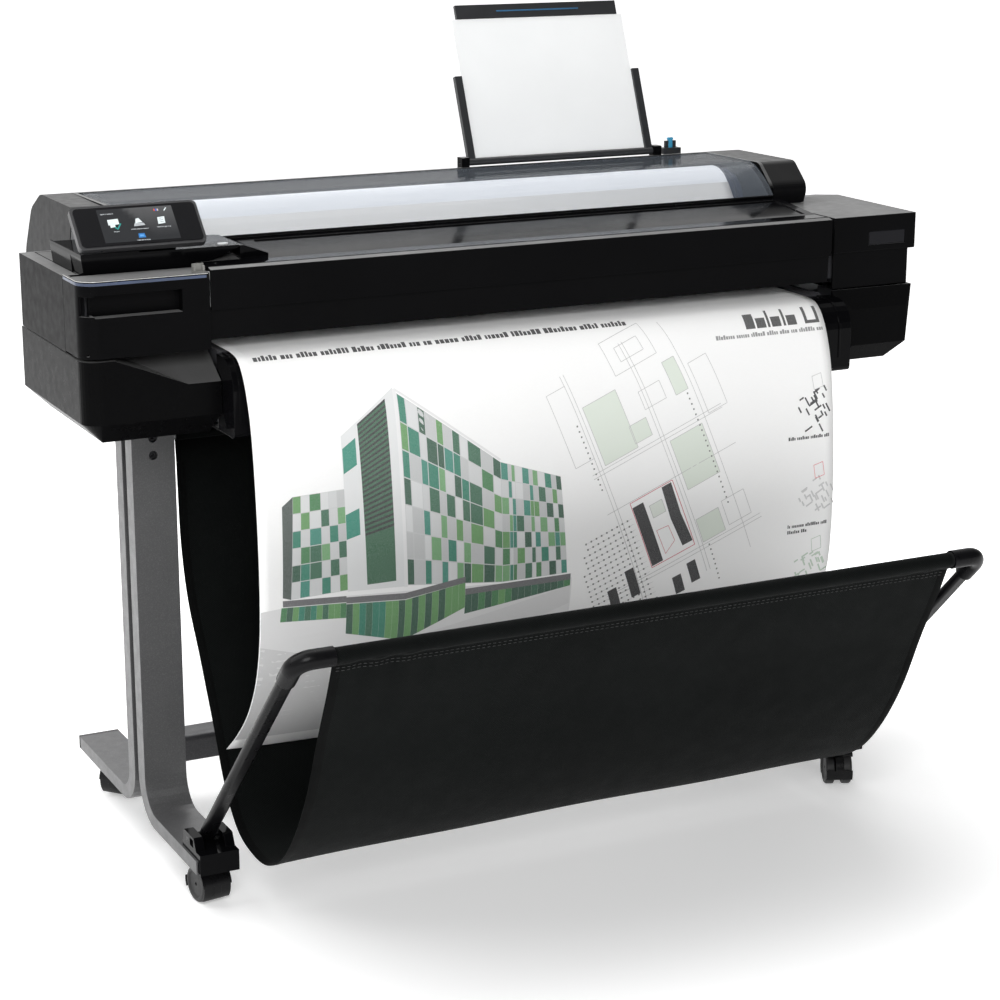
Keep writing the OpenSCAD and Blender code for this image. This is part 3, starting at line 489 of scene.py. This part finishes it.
def cloth_finish():
    """Knitted polyester mesh: a fine grid of holes with darker pits and a slight sheen."""
    f = Finish("cloth_black", (0.0027, 0.0036, 0.0034), 0.75, Sheen_Weight=0.03,
               Sheen_Roughness=0.4, Specular_IOR_Level=0.06).vary(0.2, 5.0, 0.06, 30.0)
    uv = f.add("ShaderNodeTexCoord").outputs["UV"]
    turned = f.add("ShaderNodeMapping", {"Vector": uv, "Rotation": (0, 0, math.radians(45))})
    pits = f.add("ShaderNodeTexVoronoi", {"Vector": turned.outputs[0], "Scale": 420.0,
                                          "Randomness": 0.0})
    hole = f.spread(pits.outputs["Distance"], 0.0, 1.0, 0.18, 0.42)
    f.tint = f.mix(hole, (0.0012, 0.0014, 0.0014, 1), f.tint)
    threads = f.noise(500.0, 3.0)
    f.tint = f.mix(f.spread(threads, 0.0, 0.35, 0.55, 0.8), f.tint, (0.012, 0.015, 0.014, 1))
    return f.relief(hole, 0.25).relief(threads, 0.1).done()


def make_fabric():
    finish = cloth_finish()
    xs = np.linspace(-CLOTH_W / 2, CLOTH_W / 2, 141)
    spans = np.diff(cloth.s)
    ss = cloth.s[np.concatenate([[True], spans > 0.05])]
    mesh = grid_mesh("basket_cloth", list(xs), list(ss),
                     lambda x, s: cloth.place(x, s, gather(x, s)))
    piece = new_piece("basket_cloth", mesh, None, finish)
    thicken(piece, CLOTH_T)
    hems = side_hems(finish)
    stitches = seam_stitches()
    for part in (piece, hems, stitches):
        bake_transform(part)
    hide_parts("basket_fabric")


def side_hems(finish):
    """Turned and sewn side edges, on both faces of the cloth."""
    width, lift = 13.0, 0.75
    start, end = 45.0, cloth.length - 62.0
    ss = [s for s in cloth.s if start < s < end]
    bm = bmesh.new()
    for side in (LEFT, RIGHT):
        edge = side * CLOTH_W / 2
        xs = [edge - side * width * k / 3 for k in range(4)]
        rows = []
        for s in ss:
            lifts = [(x, lift if 0 < k < 3 else 0.35) for k, x in enumerate(xs)]
            ring = [cloth.place(x, s, gather(x, s) + h) for x, h in lifts]
            ring += [cloth.place(x, s, gather(x, s) - h) for x, h in reversed(lifts)]
            rows.append([bm.verts.new(p) for p in ring])
        join_rings(bm, rows)
    mesh = closed_mesh("basket_hems", bm)
    return new_piece("basket_hems", mesh, None, finish)


def seam_stitches():
    """Rows of short stitches below the bar's sleeve, on both faces of the cloth."""
    thread, length, pitch, lift = 0.45, 4.2, 7.5, 0.62
    bm = bmesh.new()

    def stitch(a, b, out):
        along = (b - a).normalized()
        across = along.cross(out).normalized() * thread * MM
        up = out.normalized() * thread * MM
        ends = [[bm.verts.new(p + across * i + up * j) for i, j in
                 ((-1, -1), (1, -1), (1, 1), (-1, 1))] for p in (a, b)]
        join_rings(bm, ends)

    sleeve_s = cloth.s[np.argmin(np.abs(cloth.line - np.array(belly[-1])).sum(axis=1))] - 4.0
    for side in (LEFT, RIGHT):
        for s in (sleeve_s, sleeve_s - 5.0):
            for x in np.arange(-CLOTH_W / 2 + 6, CLOTH_W / 2 - 6, pitch):
                lifts = [gather(v, s) + side * lift for v in (x, x + length)]
                a, b = (cloth.place(v, s, h) for v, h in zip((x, x + length), lifts))
                out = cloth.place(x, s, lifts[0] + side) - a
                stitch(a, b, out)
    mesh = closed_mesh("basket_stitches", bm)
    f = Finish("thread", (0.009, 0.010, 0.010), 0.6).vary(0.3, 60.0, 0.1)
    f.relief(f.noise(900.0), 0.1)
    return new_piece("basket_stitches", mesh, None, f.done())


# ---- printed sheet ----

SHEET_W = 914.4
SHEET_T = 0.25
EXIT_Y, SHEET_Z = -250.0, 758.15
ROLL_C, ROLL_R = np.array([22.0, 868.0]), 54.0
NIP = np.array([-132.0, SHEET_Z])


def tangent_from_nip():
    """Point where the sheet leaves the roll, on the line that meets the feed nip."""
    away = ROLL_C - NIP
    reach, r = np.linalg.norm(away), ROLL_R + 0.8
    angle = math.atan2(away[1], away[0]) + math.asin(r / reach)
    d = np.array([math.cos(angle), math.sin(angle)])
    return NIP + math.sqrt(reach ** 2 - r ** 2) * d, NIP + 22 * d


off_roll, near_nip = tangent_from_nip()
web = Ribbon([off_roll] + list(catmull([near_nip, NIP + 0.35 * (near_nip - NIP), NIP + [-6, 0],
                                        (-160, SHEET_Z), (-215, SHEET_Z),
                                        (EXIT_Y, SHEET_Z - 0.2)], 6)))
sheet = Ribbon(catmull([
    (EXIT_Y, SHEET_Z - 0.2), (-277, 753), (-297, 734), (-312, 703), (-324, 660), (-333, 590),
    (-339, 500), (-339, 420), (-332, 360), (-312, 300), (-280, 248), (-238, 204),
    (-192, 166)], 9))


def sway(x, s):
    """Slow waves of the hanging sheet, and the curl that its free corners keep."""
    free = min(1.0, max(0.0, (s - 90.0) / 260.0))
    low = max(0.0, (s - 480.0) / 200.0)
    wave = 1.3 * math.sin(x / 155.0 + 0.6) + 0.7 * math.sin(x / 71.0 + s / 120.0)
    corner = (abs(x) / (SHEET_W / 2)) ** 6
    return SHEET_T / 2 + free * wave - 5.0 * low * corner


def paper_finish():
    """Coated bond paper: a faint cockle, fibres and a slightly uneven white."""
    f = Finish("paper_white", (0.90, 0.90, 0.895), 0.55, Specular_IOR_Level=0.35)
    f.vary(0.015, 4.0, 0.05, 40.0)
    fibres = f.noise(240.0, 5.0, f.stretched((1.0, 3.0, 3.0)))
    f.tint = f.mix(f.spread(fibres, 0.0, 0.12), f.tint, (0.78, 0.78, 0.77, 1))
    return f.relief(f.noise(11.0), 0.35).relief(fibres, 0.02).done()


class Drawing:
    """Flat coloured shapes on a curved sheet, from corners in its own millimetres."""

    def __init__(self, lay, cell):
        self.lay, self.cell = lay, cell
        self.mesh = bmesh.new()
        self.ink = self.mesh.loops.layers.float_color.new("ink")

    def quad(self, corners, color, layer=1):
        """corners run round the shape; long shapes are cut so that they follow the sheet."""
        a, b, c, d = (np.array(p, float) for p in corners)
        cell = self.cell(min(p[1] for p in (a, b, c, d)))
        rows = max(1, math.ceil(max(np.abs(d - a).max(), np.abs(c - b).max()) / cell))
        cols = max(1, math.ceil(max(np.abs(b - a).max(), np.abs(c - d).max()) / cell))
        flat = [[(a * (1 - u) + b * u) * (1 - v) + (d * (1 - u) + c * u) * v
                 for u in np.linspace(0, 1, cols + 1)] for v in np.linspace(0, 1, rows + 1)]
        grid = [[self.mesh.verts.new(self.lay(p, layer)) for p in row] for row in flat]
        for r in range(rows):
            for k in range(cols):
                turns = ((r, k), (r, k + 1), (r + 1, k + 1), (r + 1, k))
                face = self.mesh.faces.new([grid[i][j] for i, j in turns])
                for loop, (i, j) in zip(face.loops, turns):
                    tone = color(flat[i][j]) if callable(color) else color
                    loop[self.ink] = (*tone, 1.0)

    def box(self, u0, u1, v0, v1, color, layer=1):
        self.quad([(u0, v0), (u1, v0), (u1, v1), (u0, v1)], color, layer)

    def line(self, p, q, width, color, layer=1):
        p, q = np.array(p, float), np.array(q, float)
        d = (q - p) / np.linalg.norm(q - p) * width / 2
        side = np.array([-d[1], d[0]])
        self.quad([p + side, q + side, q - side, p - side], color, layer)

    def outline(self, corners, width, color, layer=1):
        for p, q in zip(corners, corners[1:] + corners[:1]):
            self.line(p, q, width, color, layer)

    def words(self, u0, u1, v, height, color, rng, layer=1):
        """A greeked line of writing: plain bars in place of letters."""
        u = u0
        while u < u1:
            for _ in range(rng.randint(2, 8)):
                w = height * rng.uniform(0.32, 0.6)
                rise = height * rng.choice((0.0, 0.0, 0.28))
                if u + w < u1:
                    self.box(u, u + w, v - height * 0.72 - rise, v, color, layer)
                u += w + height * 0.14
            u += height * 0.42

    def patch(self, corners):
        """Maps 0 to 1 in both directions onto the four corners."""
        a, b, c, d = (np.array(p, float) for p in corners)
        return lambda s, t: (a * (1 - s) + b * s) * (1 - t) + (d * (1 - s) + c * s) * t

    def finish(self, name, flip=False):
        if flip:
            bmesh.ops.reverse_faces(self.mesh, faces=self.mesh.faces[:])
        mesh = bpy.data.meshes.new(name)
        self.mesh.to_mesh(mesh)
        self.mesh.free()
        return mesh


GREENS = [(0.03, 0.13, 0.07), (0.02, 0.09, 0.05), (0.05, 0.20, 0.07), (0.02, 0.20, 0.13),
          (0.12, 0.30, 0.10), (0.04, 0.24, 0.18), (0.16, 0.36, 0.16)]
WHITES = [(0.60, 0.61, 0.61), (0.52, 0.53, 0.53), (0.66, 0.67, 0.67)]
INK = (0.012, 0.012, 0.014)


def chequer(art, corners, cols, rows, rng, lean=0.5):
    """A facade of panels of uneven width, glazed or plain by turns."""
    to = art.patch(corners)
    art.quad(corners, (0.56, 0.57, 0.57), 2)
    edges = np.cumsum([0.0] + [rng.uniform(0.6, 1.4) for _ in range(cols)])
    edges /= edges[-1]
    for r in range(rows):
        for c in range(cols):
            glazed = (r + c) % 2 == 0 if rng.random() < 0.72 else rng.random() < lean
            color = rng.choice(GREENS if glazed else WHITES)
            s0, s1 = edges[c] + 0.006, edges[c + 1] - 0.002
            t0, t1 = (r + 0.02) / rows, (r + 0.97) / rows
            art.quad([to(s0, t0), to(s1, t0), to(s1, t1), to(s0, t1)], color, 3)


def glass_strip(art, corners, count, rng):
    """A row of tall green panes."""
    to = art.patch(corners)
    for k in range(count):
        color = rng.choice(GREENS[:5])
        a, b = k / count, (k + 0.985) / count
        art.quad([to(a, 0), to(b, 0), to(b, 1), to(a, 1)], color, 3)


def draw_block(art, rng):
    """Perspective of a plain office block with a lower wing, on a pale square."""
    ground, haze = (0.62, 0.62, 0.62), (0.74, 0.74, 0.74)
    art.quad([(-456, 378), (-329, 372), (-329, 640), (-456, 640)], haze, 1)
    art.quad([(-329, 372), (16, 392), (16, 640), (-329, 640)], haze, 1)
    art.quad([(-456, 430), (-330, 470), (-330, 640), (-456, 640)], ground, 2)
    art.quad([(-242, 452), (14, 404), (14, 432), (-200, 500)], (0.68, 0.68, 0.68), 2)
    # lower wing, behind
    chequer(art, [(-405, 224), (-329, 222), (-326, 364), (-412, 366)], 6, 6, rng, 0.6)
    art.quad([(-421, 236), (-405, 224), (-412, 366), (-424, 362)], (0.06, 0.08, 0.07), 3)
    # high end of the main block: white wall with a louvred strip
    art.quad([(-331, 150), (-249, 92), (-244, 370), (-329, 366)], (0.72, 0.73, 0.73), 4)
    to = art.patch([(-306, 136), (-262, 106), (-257, 360), (-300, 360)])
    art.quad([to(0, 0), to(1, 0), to(1, 1), to(0, 1)], (0.03, 0.12, 0.06), 5)
    for k in range(24):
        t = k / 34
        art.quad([to(0, t), to(1, t), to(1, t + 0.014), to(0, t + 0.014)], INK, 6)
    for low, high in ((0.08, 0.24), (0.5, 0.66)):
        side = art.patch([(-330, 150), (-308, 134), (-306, 366), (-329, 366)])
        art.quad([side(0, low), side(0.9, low), side(0.9, high), side(0, high)],
                 (0.02, 0.24, 0.17), 5)
    # long front in two stretches
    chequer(art, [(-244, 100), (-95, 211), (-95, 384), (-240, 369)], 11, 7, rng)
    chequer(art, [(-95, 211), (-2, 242), (8, 384), (-95, 384)], 11, 7, rng, 0.65)
    art.line((-247, 94), (-95, 208), 3.0, (0.75, 0.75, 0.75), 5)
    art.line((-247, 94), (-242, 371), 5.0, (0.78, 0.78, 0.78), 5)
    # plinth: slab edge and green glass
    slab = (0.13, 0.13, 0.135)
    for a, b in (((-424, 366), (-331, 372)), ((-331, 374), (-243, 380)), ((-243, 380), (-152, 368)),
                 ((-152, 386), (14, 386))):
        art.quad([a, b, (b[0], b[1] + 9), (a[0], a[1] + 9)], slab, 4)
    glass_strip(art, [(-426, 376), (-331, 382), (-331, 404), (-428, 396)], 11, rng)
    glass_strip(art, [(-331, 384), (-243, 390), (-243, 452), (-331, 428)], 9, rng)
    glass_strip(art, [(-243, 390), (-152, 377), (-152, 414), (-243, 452)], 9, rng)
    glass_strip(art, [(-152, 395), (14, 393), (14, 404), (-152, 424)], 16, rng)


def draw_plan(art):
    """Faint street plan with two dark blocks inside a red boundary."""
    grey, pale, red = (0.42, 0.42, 0.42), (0.70, 0.76, 0.68), (0.55, 0.05, 0.08)
    origin, turn = np.array([113.0, 302.0]), math.radians(-21)
    ax = np.array([math.cos(turn), math.sin(turn)])
    ay = np.array([-math.sin(turn), math.cos(turn)])

    def to(x, y):
        return origin + x * ax + y * ay

    def block(x0, x1, y0, y1, fill=None, edge=grey, width=0.7, layer=2):
        corners = [to(x0, y0), to(x1, y0), to(x1, y1), to(x0, y1)]
        if fill is not None:
            art.quad(corners, fill, layer)
        if edge is not None:
            art.outline(corners, width, edge, layer + 1)

    for x0, x1, y0, y1 in ((-16, 42, -170, -78), (40, 70, -112, -84), (92, 150, -62, 18),
                           (128, 150, -170, -118), (88, 128, 66, 104)):
        block(x0, x1, y0, y1, pale)
    for x0, x1, y0, y1 in ((52, 128, -238, -186), (70, 112, -222, -200), (74, 112, -150, -122),
                           (-60, -28, -210, -96), (166, 200, -150, -70), (136, 176, 60, 100)):
        block(x0, x1, y0, y1)
    for x in (-22, -28, 80, 86, 158):
        art.line(to(x, -225), to(x, 150), 0.7, grey, 2)
    for y in (-74, -68, -10, 108, 114):
        art.line(to(-80 if y > 0 else -40, y), to(190, y), 0.7, grey, 2)
    # dark blocks and boundary
    art.outline([to(-1, -8), to(74, -8), to(74, 100), to(-1, 100)], 1.0, red, 3)
    block(0, 19, 0, 98, INK, None)
    art.quad([to(54, -6), to(71, -6), to(69, 44), to(51, 44)], INK, 3)
    art.quad([to(51, 44), to(69, 44), to(73, 92), to(55, 92)], INK, 3)
    block(26, 48, 10, 30, (0.74, 0.78, 0.72))
    art.outline([to(24, 50), to(44, 52), to(46, 78), to(26, 90)], 0.7, red, 3)
    # trees: dots on a square pitch and along the streets
    for i in range(11):
        for j in range(15):
            p = to(-104 + 9 * i, 14 + 9 * j)
            if p[0] > 34:
                art.box(p[0] - 1.3, p[0] + 1.3, p[1] - 1.3, p[1] + 1.3, (0.12, 0.12, 0.12), 3)
                art.line(p, to(-96 + 9 * i, 14 + 9 * j), 0.35, grey, 2)
    for x, y0, count in ((-34, -150, 13), (146, -112, 22), (96, 112, 8)):
        for k in range(count):
            p = to(x, y0 + 8.5 * k)
            art.box(p[0] - 1.2, p[0] + 1.2, p[1] - 1.2, p[1] + 1.2, (0.1, 0.1, 0.1), 3)
    for x, y, long in ((-78, 100, 60), (-44, 84, 46), (52, 122, 34), (24, 132, 30), (-20, 150, 60)):
        block(x, x + 15, y, y + long, INK, None, layer=4)


def draw_margin(art, rng):
    """Small figure-ground plans with greeked captions down the right edge."""
    for v, color, key in ((185, INK, (0.5, 0.5, 0.5)), (318, (0.60, 0.60, 0.60), (0.7, 0.1, 0.12)),
                          (432, (0.50, 0.60, 0.50), (0.4, 0.5, 0.4))):
        centre = np.array([428.0, v])
        for k in range(26):
            turn = math.radians(-28 if k % 3 else 62)
            d = np.array([math.cos(turn), math.sin(turn)])
            side = np.array([-d[1], d[0]])
            p = centre + rng.uniform(-30, 30) * d + rng.uniform(-26, 26) * side
            art.line(p, p + side * rng.uniform(7, 15), 2.6, color, 2)
        art.outline([centre + q for q in np.array([(-6, -44), (10, -48), (13, -28), (-3, -24)])],
                    0.8, key, 3)
        art.words(378, 450, v + 48, 5.2, INK, rng)
        if v > 200:
            art.words(378, 414, v + 57, 5.2, INK, rng)


def draw_heads(art, rng):
    """The sheet's title bars and heading, greeked."""
    art.words(-436, 132, 36, 10.5, INK, rng)
    dark = (0.05, 0.05, 0.05)
    for u0, u1, v0 in ((322, 338, 38), (341, 357, 46), (360, 364, 34), (367, 383, 46),
                       (387, 391, 34), (394, 410, 46)):
        art.box(u0, u1, v0, 62, dark)
    for u0, u1, v0 in ((424, 429, 34), (444, 449, 34), (424, 449, 57)):
        art.box(u0, u1, v0, 62, dark)
    art.words(268, 455, 74, 6.5, (0.25, 0.25, 0.25), rng)


def on_sheet(p, layer):
    return sheet.place(p[0], p[1], sway(p[0], p[1]) + SHEET_T / 2 + 0.06 + 0.05 * layer)


def ink_finish():
    """Ink-jet ink on bond: the drawing's colours with a fine dither and a soft sheen."""
    f = Finish("print_ink", (1, 1, 1), 0.5, Specular_IOR_Level=0.4)
    ink = f.add("ShaderNodeAttribute", attribute_name="ink").outputs["Color"]
    dots = f.spread(f.noise(1500.0, 2.0), 0.0, 0.18)
    f.tint = f.mix(dots, ink, (0.8, 0.8, 0.8, 1))
    f.gloss = f.spread(f.noise(60.0), 0.42, 0.58)
    return f.relief(f.noise(11.0), 0.2).done()


def make_paper():
    finish = paper_finish()
    xs = list(np.linspace(-SHEET_W / 2, SHEET_W / 2, 61))
    top = new_piece("paper_web", grid_mesh("paper_web", xs, list(web.s), lambda x, s: web.place(
        x, s, SHEET_T / 2)), "printer", finish)
    thicken(top, SHEET_T)
    ss = list(np.unique(np.concatenate([sheet.s, np.linspace(0, sheet.length, 90)])))
    hanging = new_piece("printed_sheet", grid_mesh(
        "printed_sheet", xs, ss, lambda x, s: sheet.place(x, s, sway(x, s))),
        "printer", finish)
    thicken(hanging, SHEET_T)
    art = Drawing(on_sheet, lambda top: 4.0 if top < 110 else 12.0)
    rng = random.Random(11)
    draw_block(art, rng)
    draw_plan(art)
    draw_margin(art, rng)
    draw_heads(art, rng)
    ink = new_piece("print_ink", art.finish("print_ink", flip=True), "printer", ink_finish())
    for piece in (hanging, ink):
        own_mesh(piece)
    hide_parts("paper_sheet")


# ---- touch screen ----

PANEL_O, PANEL_TURN = (-552.5, -175.5, 925.0), math.radians(45.6)


def on_panel(x, y, lift=0.0):
    """A point on the touch panel's glass, in millimetres from its middle."""
    z = 1.2 + lift
    c, s = math.cos(PANEL_TURN), math.sin(PANEL_TURN)
    return at(PANEL_O[0] + x, PANEL_O[1] + y * c - z * s, PANEL_O[2] + y * s + z * c)


def shade(p):
    """The lit screen's background: dark, with a lighter wedge down its upper right."""
    beyond = 1.0 / (1.0 + math.exp(-(p[0] + 14 - 0.75 * (27 - p[1])) / 1.5))
    glow = beyond * max(0.0, (p[1] + 20) / 47)
    return tuple(0.016 + 0.055 * glow + k for k in (0, 0.001, 0.003))


def draw_icons(art, rng):
    white, teal, grey = (0.62, 0.68, 0.69), (0.03, 0.26, 0.24), (0.28, 0.3, 0.31)
    blue, pale = (0.03, 0.16, 0.42), (0.4, 0.42, 0.44)
    # roll of paper with a tick
    art.quad([(-41, 1), (-26, 2), (-26, 11), (-41, 10)], white, 2)
    art.quad([(-39, -3), (-32, -2), (-32, 4), (-39, 3)], white, 2)
    art.line((-33, -2), (-30, -6), 1.8, teal, 3)
    art.line((-30, -6), (-24, 3), 1.8, teal, 3)
    # sheet over a feeder
    art.quad([(-4, 2), (6, 3), (2, 10), (-2, 9)], white, 2)
    art.quad([(-7, -3), (9, -2), (7, 2), (-5, 2)], pale, 2)
    art.line((-4, -1), (6, 0), 0.8, grey, 3)
    # folded page
    art.quad([(27, -2), (37, -1), (38, 10), (28, 9)], white, 2)
    for k in range(3):
        art.line((30, 1 + 3 * k), (35, 1.5 + 3 * k), 0.7, grey, 3)
    # status marks and greeked captions
    art.quad([(-5, -22), (5, -22), (4, -15), (-4, -15)], blue, 2)
    art.quad([(-3, -20), (3, -20), (2.4, -17), (-2.4, -17)], (0.1, 0.3, 0.6), 3)
    for k, tone in enumerate(((0.5, 0.08, 0.05), (0.05, 0.12, 0.5), (0.45, 0.4, 0.4))):
        art.box(26 + 2.4 * k, 27.8 + 2.4 * k, 19.5, 23, tone, 2)
    art.line((40, 19), (44, 24), 1.4, white, 2)
    for u0, u1, v in ((-48, -30, 20), (-36, -28, -9), (-12, 12, -7), (24, 44, -6), (-8, 10, -25)):
        art.words(u0, u1, v, 1.7, pale, rng, 2)


def screen_finish():
    """Lit display under glass: its own faint light, fine pixel lines and a clear coat."""
    f = Finish("screen_display", (1, 1, 1), 0.12, Emission_Strength=0.5, Coat_Weight=0.2,
               Coat_Roughness=0.04, Specular_IOR_Level=0.2)
    ink = f.add("ShaderNodeAttribute", attribute_name="ink").outputs["Color"]
    lines = f.noise(4.0, 2.0, f.stretched((900.0, 2.0, 2.0)))
    f.tint = f.mix(f.spread(lines, 0.0, 0.25), ink, (0.02, 0.02, 0.02, 1))
    f.gloss = f.spread(f.noise(40.0), 0.08, 0.16)
    f.put(f.shader.inputs["Emission Color"], f.tint)
    return f.relief(f.noise(60.0), 0.01).done()


def glass_finish():
    """Black cover glass with a trace of finger marks."""
    f = Finish("panel_glass", (0.004, 0.004, 0.005), 0.05,
               Specular_IOR_Level=0.25).vary(0.1, 30.0, 0.02, 60.0)
    smear = f.spread(f.noise(45.0, 5.0), 0.02, 0.11, 0.5, 0.8)
    f.gloss = f.math("MAXIMUM", f.gloss, smear)
    return f.edges(0.5).relief(f.noise(8.0), 0.02).done()


def make_screen():
    art = Drawing(lambda p, layer: on_panel(p[0], p[1], 0.05 * layer), lambda top: 6.0)
    art.quad([(-52, -27), (52, -27), (52, 27), (-52, 27)], shade, 1)
    draw_icons(art, random.Random(5))
    new_piece("screen_display", art.finish("screen_display"), "printer", screen_finish())
    paint(glass_finish(), "touch_glass")
    paint(moulded("bezel_grey", (0.035, 0.035, 0.037), 0.32, 0.02, 0.5), "touch_panel")


# ---- trim ----

def light_finish(name, color, glow):
    """Translucent light guide lit faintly from behind."""
    f = Finish(name, color, 0.25, Emission_Strength=glow, Coat_Weight=0.3)
    f.vary(0.2, 30.0, 0.05)
    f.put(f.shader.inputs["Emission Color"], f.tint)
    return f.edges(0.3).relief(f.noise(90.0), 0.03).done()


def rim_band(name, z0, z1, proud, end, finish, body):
    """A closed band round the door's top edge and its rounded corner."""
    corner, r = np.array([-633.5, -225.0]), 25.0
    arc = [corner + r * np.array([math.cos(a), math.sin(a)])
           for a in np.radians(np.linspace(-90, -180, 13))]
    spine = [np.array([end, -250.0])] + arc + [np.array([-658.5, -175.0])]
    outs = [np.array([0.0, -1.0])] + [(p - corner) / r for p in arc] + [np.array([-1.0, 0.0])]
    bm = bmesh.new()
    rings = [[bm.verts.new(at(*(p + n * d), z)) for d, z in
              ((-0.5, z0), (proud, z0 + 0.2), (proud, z1 - 0.2), (-0.5, z1))]
             for p, n in zip(spine, outs)]
    join_rings(bm, rings)
    return new_piece(name, closed_mesh(name, bm), body, finish)


def in_tray(p):
    """From the sheet feeder's own frame, whose z runs up its slats."""
    lean = math.radians(-21.6)
    c, s = math.cos(lean), math.sin(lean)
    return at(p[0], 118.0 + p[1] * c - p[2] * s, 938.0 + p[1] * s + p[2] * c)


def make_trim():
    blue_line = light_finish("status_light", (0.022, 0.036, 0.075), 0.2)
    rim_band("status_light", 860.4, 864.6, 0.35, -486.0, blue_line, "cartridge_door")
    silver = brushed("rim_silver", (0.62, 0.62, 0.6), 0.25, (4.0, 60.0, 60.0))
    rim_band("door_rim", 865.6, 866.8, 0.3, -484.0, silver, "cartridge_door")
    block = moulded("catch_grey", (0.16, 0.16, 0.15), 0.45)
    new_piece("door_catch", box_mesh("door_catch", [
        ((-503, -246, 866.6), (-485, -237, 868.6)), ((-502, -240, 868.4), (-486, -237, 878.5)),
        ((-502, -245, 868.4), (-499, -240, 876)), ((-489, -245, 868.4), (-486, -240, 876))],
        0.35), "cartridge_door", block)
    plate = glossy("nameplate", (0.012, 0.012, 0.014), 0.16)
    new_piece("nameplate", box_mesh("nameplate", [
        ((574.5, -239.9, 825.5), (639.5, -238.4, 845.5))], 0.5), "printer", plate)
    blue = moulded("tray_blue", (0.03, 0.13, 0.26), 0.4)
    new_piece("tray_stripe", box_mesh("tray_stripe", [((165, -1.9, 236), (310, -1.3, 238.2))],
                                      0.2, in_tray), "sheet_tray", blue)
    baffle = box_mesh("deck_baffle", [((-482, -198, -2.4), (-419.2, -101, -0.4))], 0.3,
                      lambda p: at(p[0], p[1], 872 + (p[1] + 205) / 9.0 + p[2]))
    new_piece("deck_baffle", baffle, "printer", shell_dark)
    lever = moulded("lever_blue", (0.05, 0.33, 0.55), 0.35)
    new_piece("guide_lever", box_mesh("guide_lever", [
        ((430.5, 116.8, 938.8), (437.5, 123.2, 955)), ((429, 117.4, 953), (439, 122.6, 957))],
        0.8), "width_guide", lever)


def facet(name, material):
    """Pale end of the roll cover beside the touch panel, laid on the end cap's front."""
    def lean(p):
        return at(p[0], -8.0 - 26.0 * (p[2] - 865.0) / 66.0 + p[1], p[2])
    mesh = box_mesh(name, [((-599, -1.2, 870), (-557.5, -0.4, 920))], 0.3, lean)
    return new_piece(name, mesh, "printer", material)


def fenders(material):
    """Shells that carry each caster's hood down over the treads, before and behind."""
    axle_y, axle_z, r_in, r_out, half = 15.0, 26.0, 26.9, 29.1, 20.6
    stands = {"fl": (-1, -285, 8), "fr": (1, -285, 156), "rl": (-1, 150, -50), "rr": (1, 150, 14)}
    for key, (side, y, turn) in stands.items():
        c, s = math.cos(math.radians(turn)), math.sin(math.radians(turn))

        def place(lx, angle, r):
            ly, z = axle_y + r * math.cos(angle), axle_z + r * math.sin(angle)
            return at(side * 517.5 + lx * c - ly * s, y + lx * s + ly * c, z - LIFT)

        bm = bmesh.new()
        for start, end in ((-24, 8), (172, 220)):
            rings = [[bm.verts.new(place(x, a, r)) for x, r in
                      ((-half, r_in), (half, r_in), (half, r_out), (-half, r_out))]
                     for a in np.radians(np.linspace(start, end, 13))]
            join_rings(bm, rings)
        mesh = closed_mesh("caster_fender_" + key, bm)
        new_piece("caster_fender_" + key, mesh, "caster_" + key, material)


# ---- remaining finishes ----

def clear_window():
    """Smoked acrylic: mostly clear, with a soft haze that shows the roll behind it."""
    f = Finish("window_clear", (0.22, 0.25, 0.29), 0.09, Alpha=0.17, Coat_Weight=0.2,
               Coat_Roughness=0.06).vary(0.05, 4.0, 0.03)
    f.edges(0.8)
    return f.relief(f.noise(9.0), 0.15, 0.5).done()


def roll_paper():
    """Wound paper: white round the outside, its turns showing as rings on the ends. Much of that
    white is painted light, a faint bluish glow that brightens the roll behind the window.
    """
    f = Finish("roll_white", (0.33, 0.34, 0.36), 0.6, Emission_Strength=0.6,
               Emission_Color=(0.84, 0.88, 0.95, 1)).vary(0.03, 8.0, 0.06)
    turns = f.noise(160.0, 2.0, f.stretched((0.05, 1.0, 1.0)))
    f.tint = f.mix(f.spread(turns, 0.0, 0.25), f.tint, (0.6, 0.6, 0.58, 1))
    return f.edges(0.5).relief(turns, 0.05).done()


def circuit_green():
    """Solder mask over copper tracks."""
    f = Finish("board_green", (0.01, 0.12, 0.05), 0.3).vary(0.15, 20.0, 0.06)
    tracks = f.add("ShaderNodeTexBrick", {
        "Vector": f.coords, "Scale": 90.0, "Mortar Size": 0.012, "Mortar Smooth": 0.1,
    }).outputs["Fac"]
    f.tint = f.mix(tracks, f.tint, (0.03, 0.22, 0.09, 1))
    return f.edges(0.3).relief(tracks, 0.05).done()


make_fabric()
make_paper()
make_screen()
make_trim()

caster_black = moulded("caster_black", (0.004, 0.004, 0.0045), 0.3, 0.02, level=0.2)
tread = rubber("caster_tread", (0.006, 0.006, 0.0065), 0.5)
dark_plastic = moulded("feeder_dark", (0.022, 0.023, 0.025), 0.4)
navy = moulded("spindle_navy", (0.012, 0.02, 0.05), 0.4)
paint(clear_window(), "cover_window")
paint(roll_paper(), "paper_roll")
paint(circuit_green(), "main_board")
paint(moulded("button_white", (0.75, 0.76, 0.77), 0.3, 0.01), "power_button")
paint(navy, "spindle")
paint(dark_plastic, "tray_arms", "width_guide")
feeder_white = moulded("feeder_white", (0.93, 0.94, 0.94), 0.4, 0.015, tone=0.02)
paint(feeder_white, "sheet_plate")
fenders(caster_black)
facet("cap_facet", moulded("cap_pale", (0.42, 0.43, 0.44), 0.2, 0.01))
paint(rubber("roller_rubber", (0.02, 0.02, 0.021)), "feed_roller", "pinch_rollers", "drive_belt")
paint(caster_black, *[n for n in nodes if n.startswith("caster_hood")])
paint(tread, *[n for n in nodes if n.startswith("caster_wheels")])
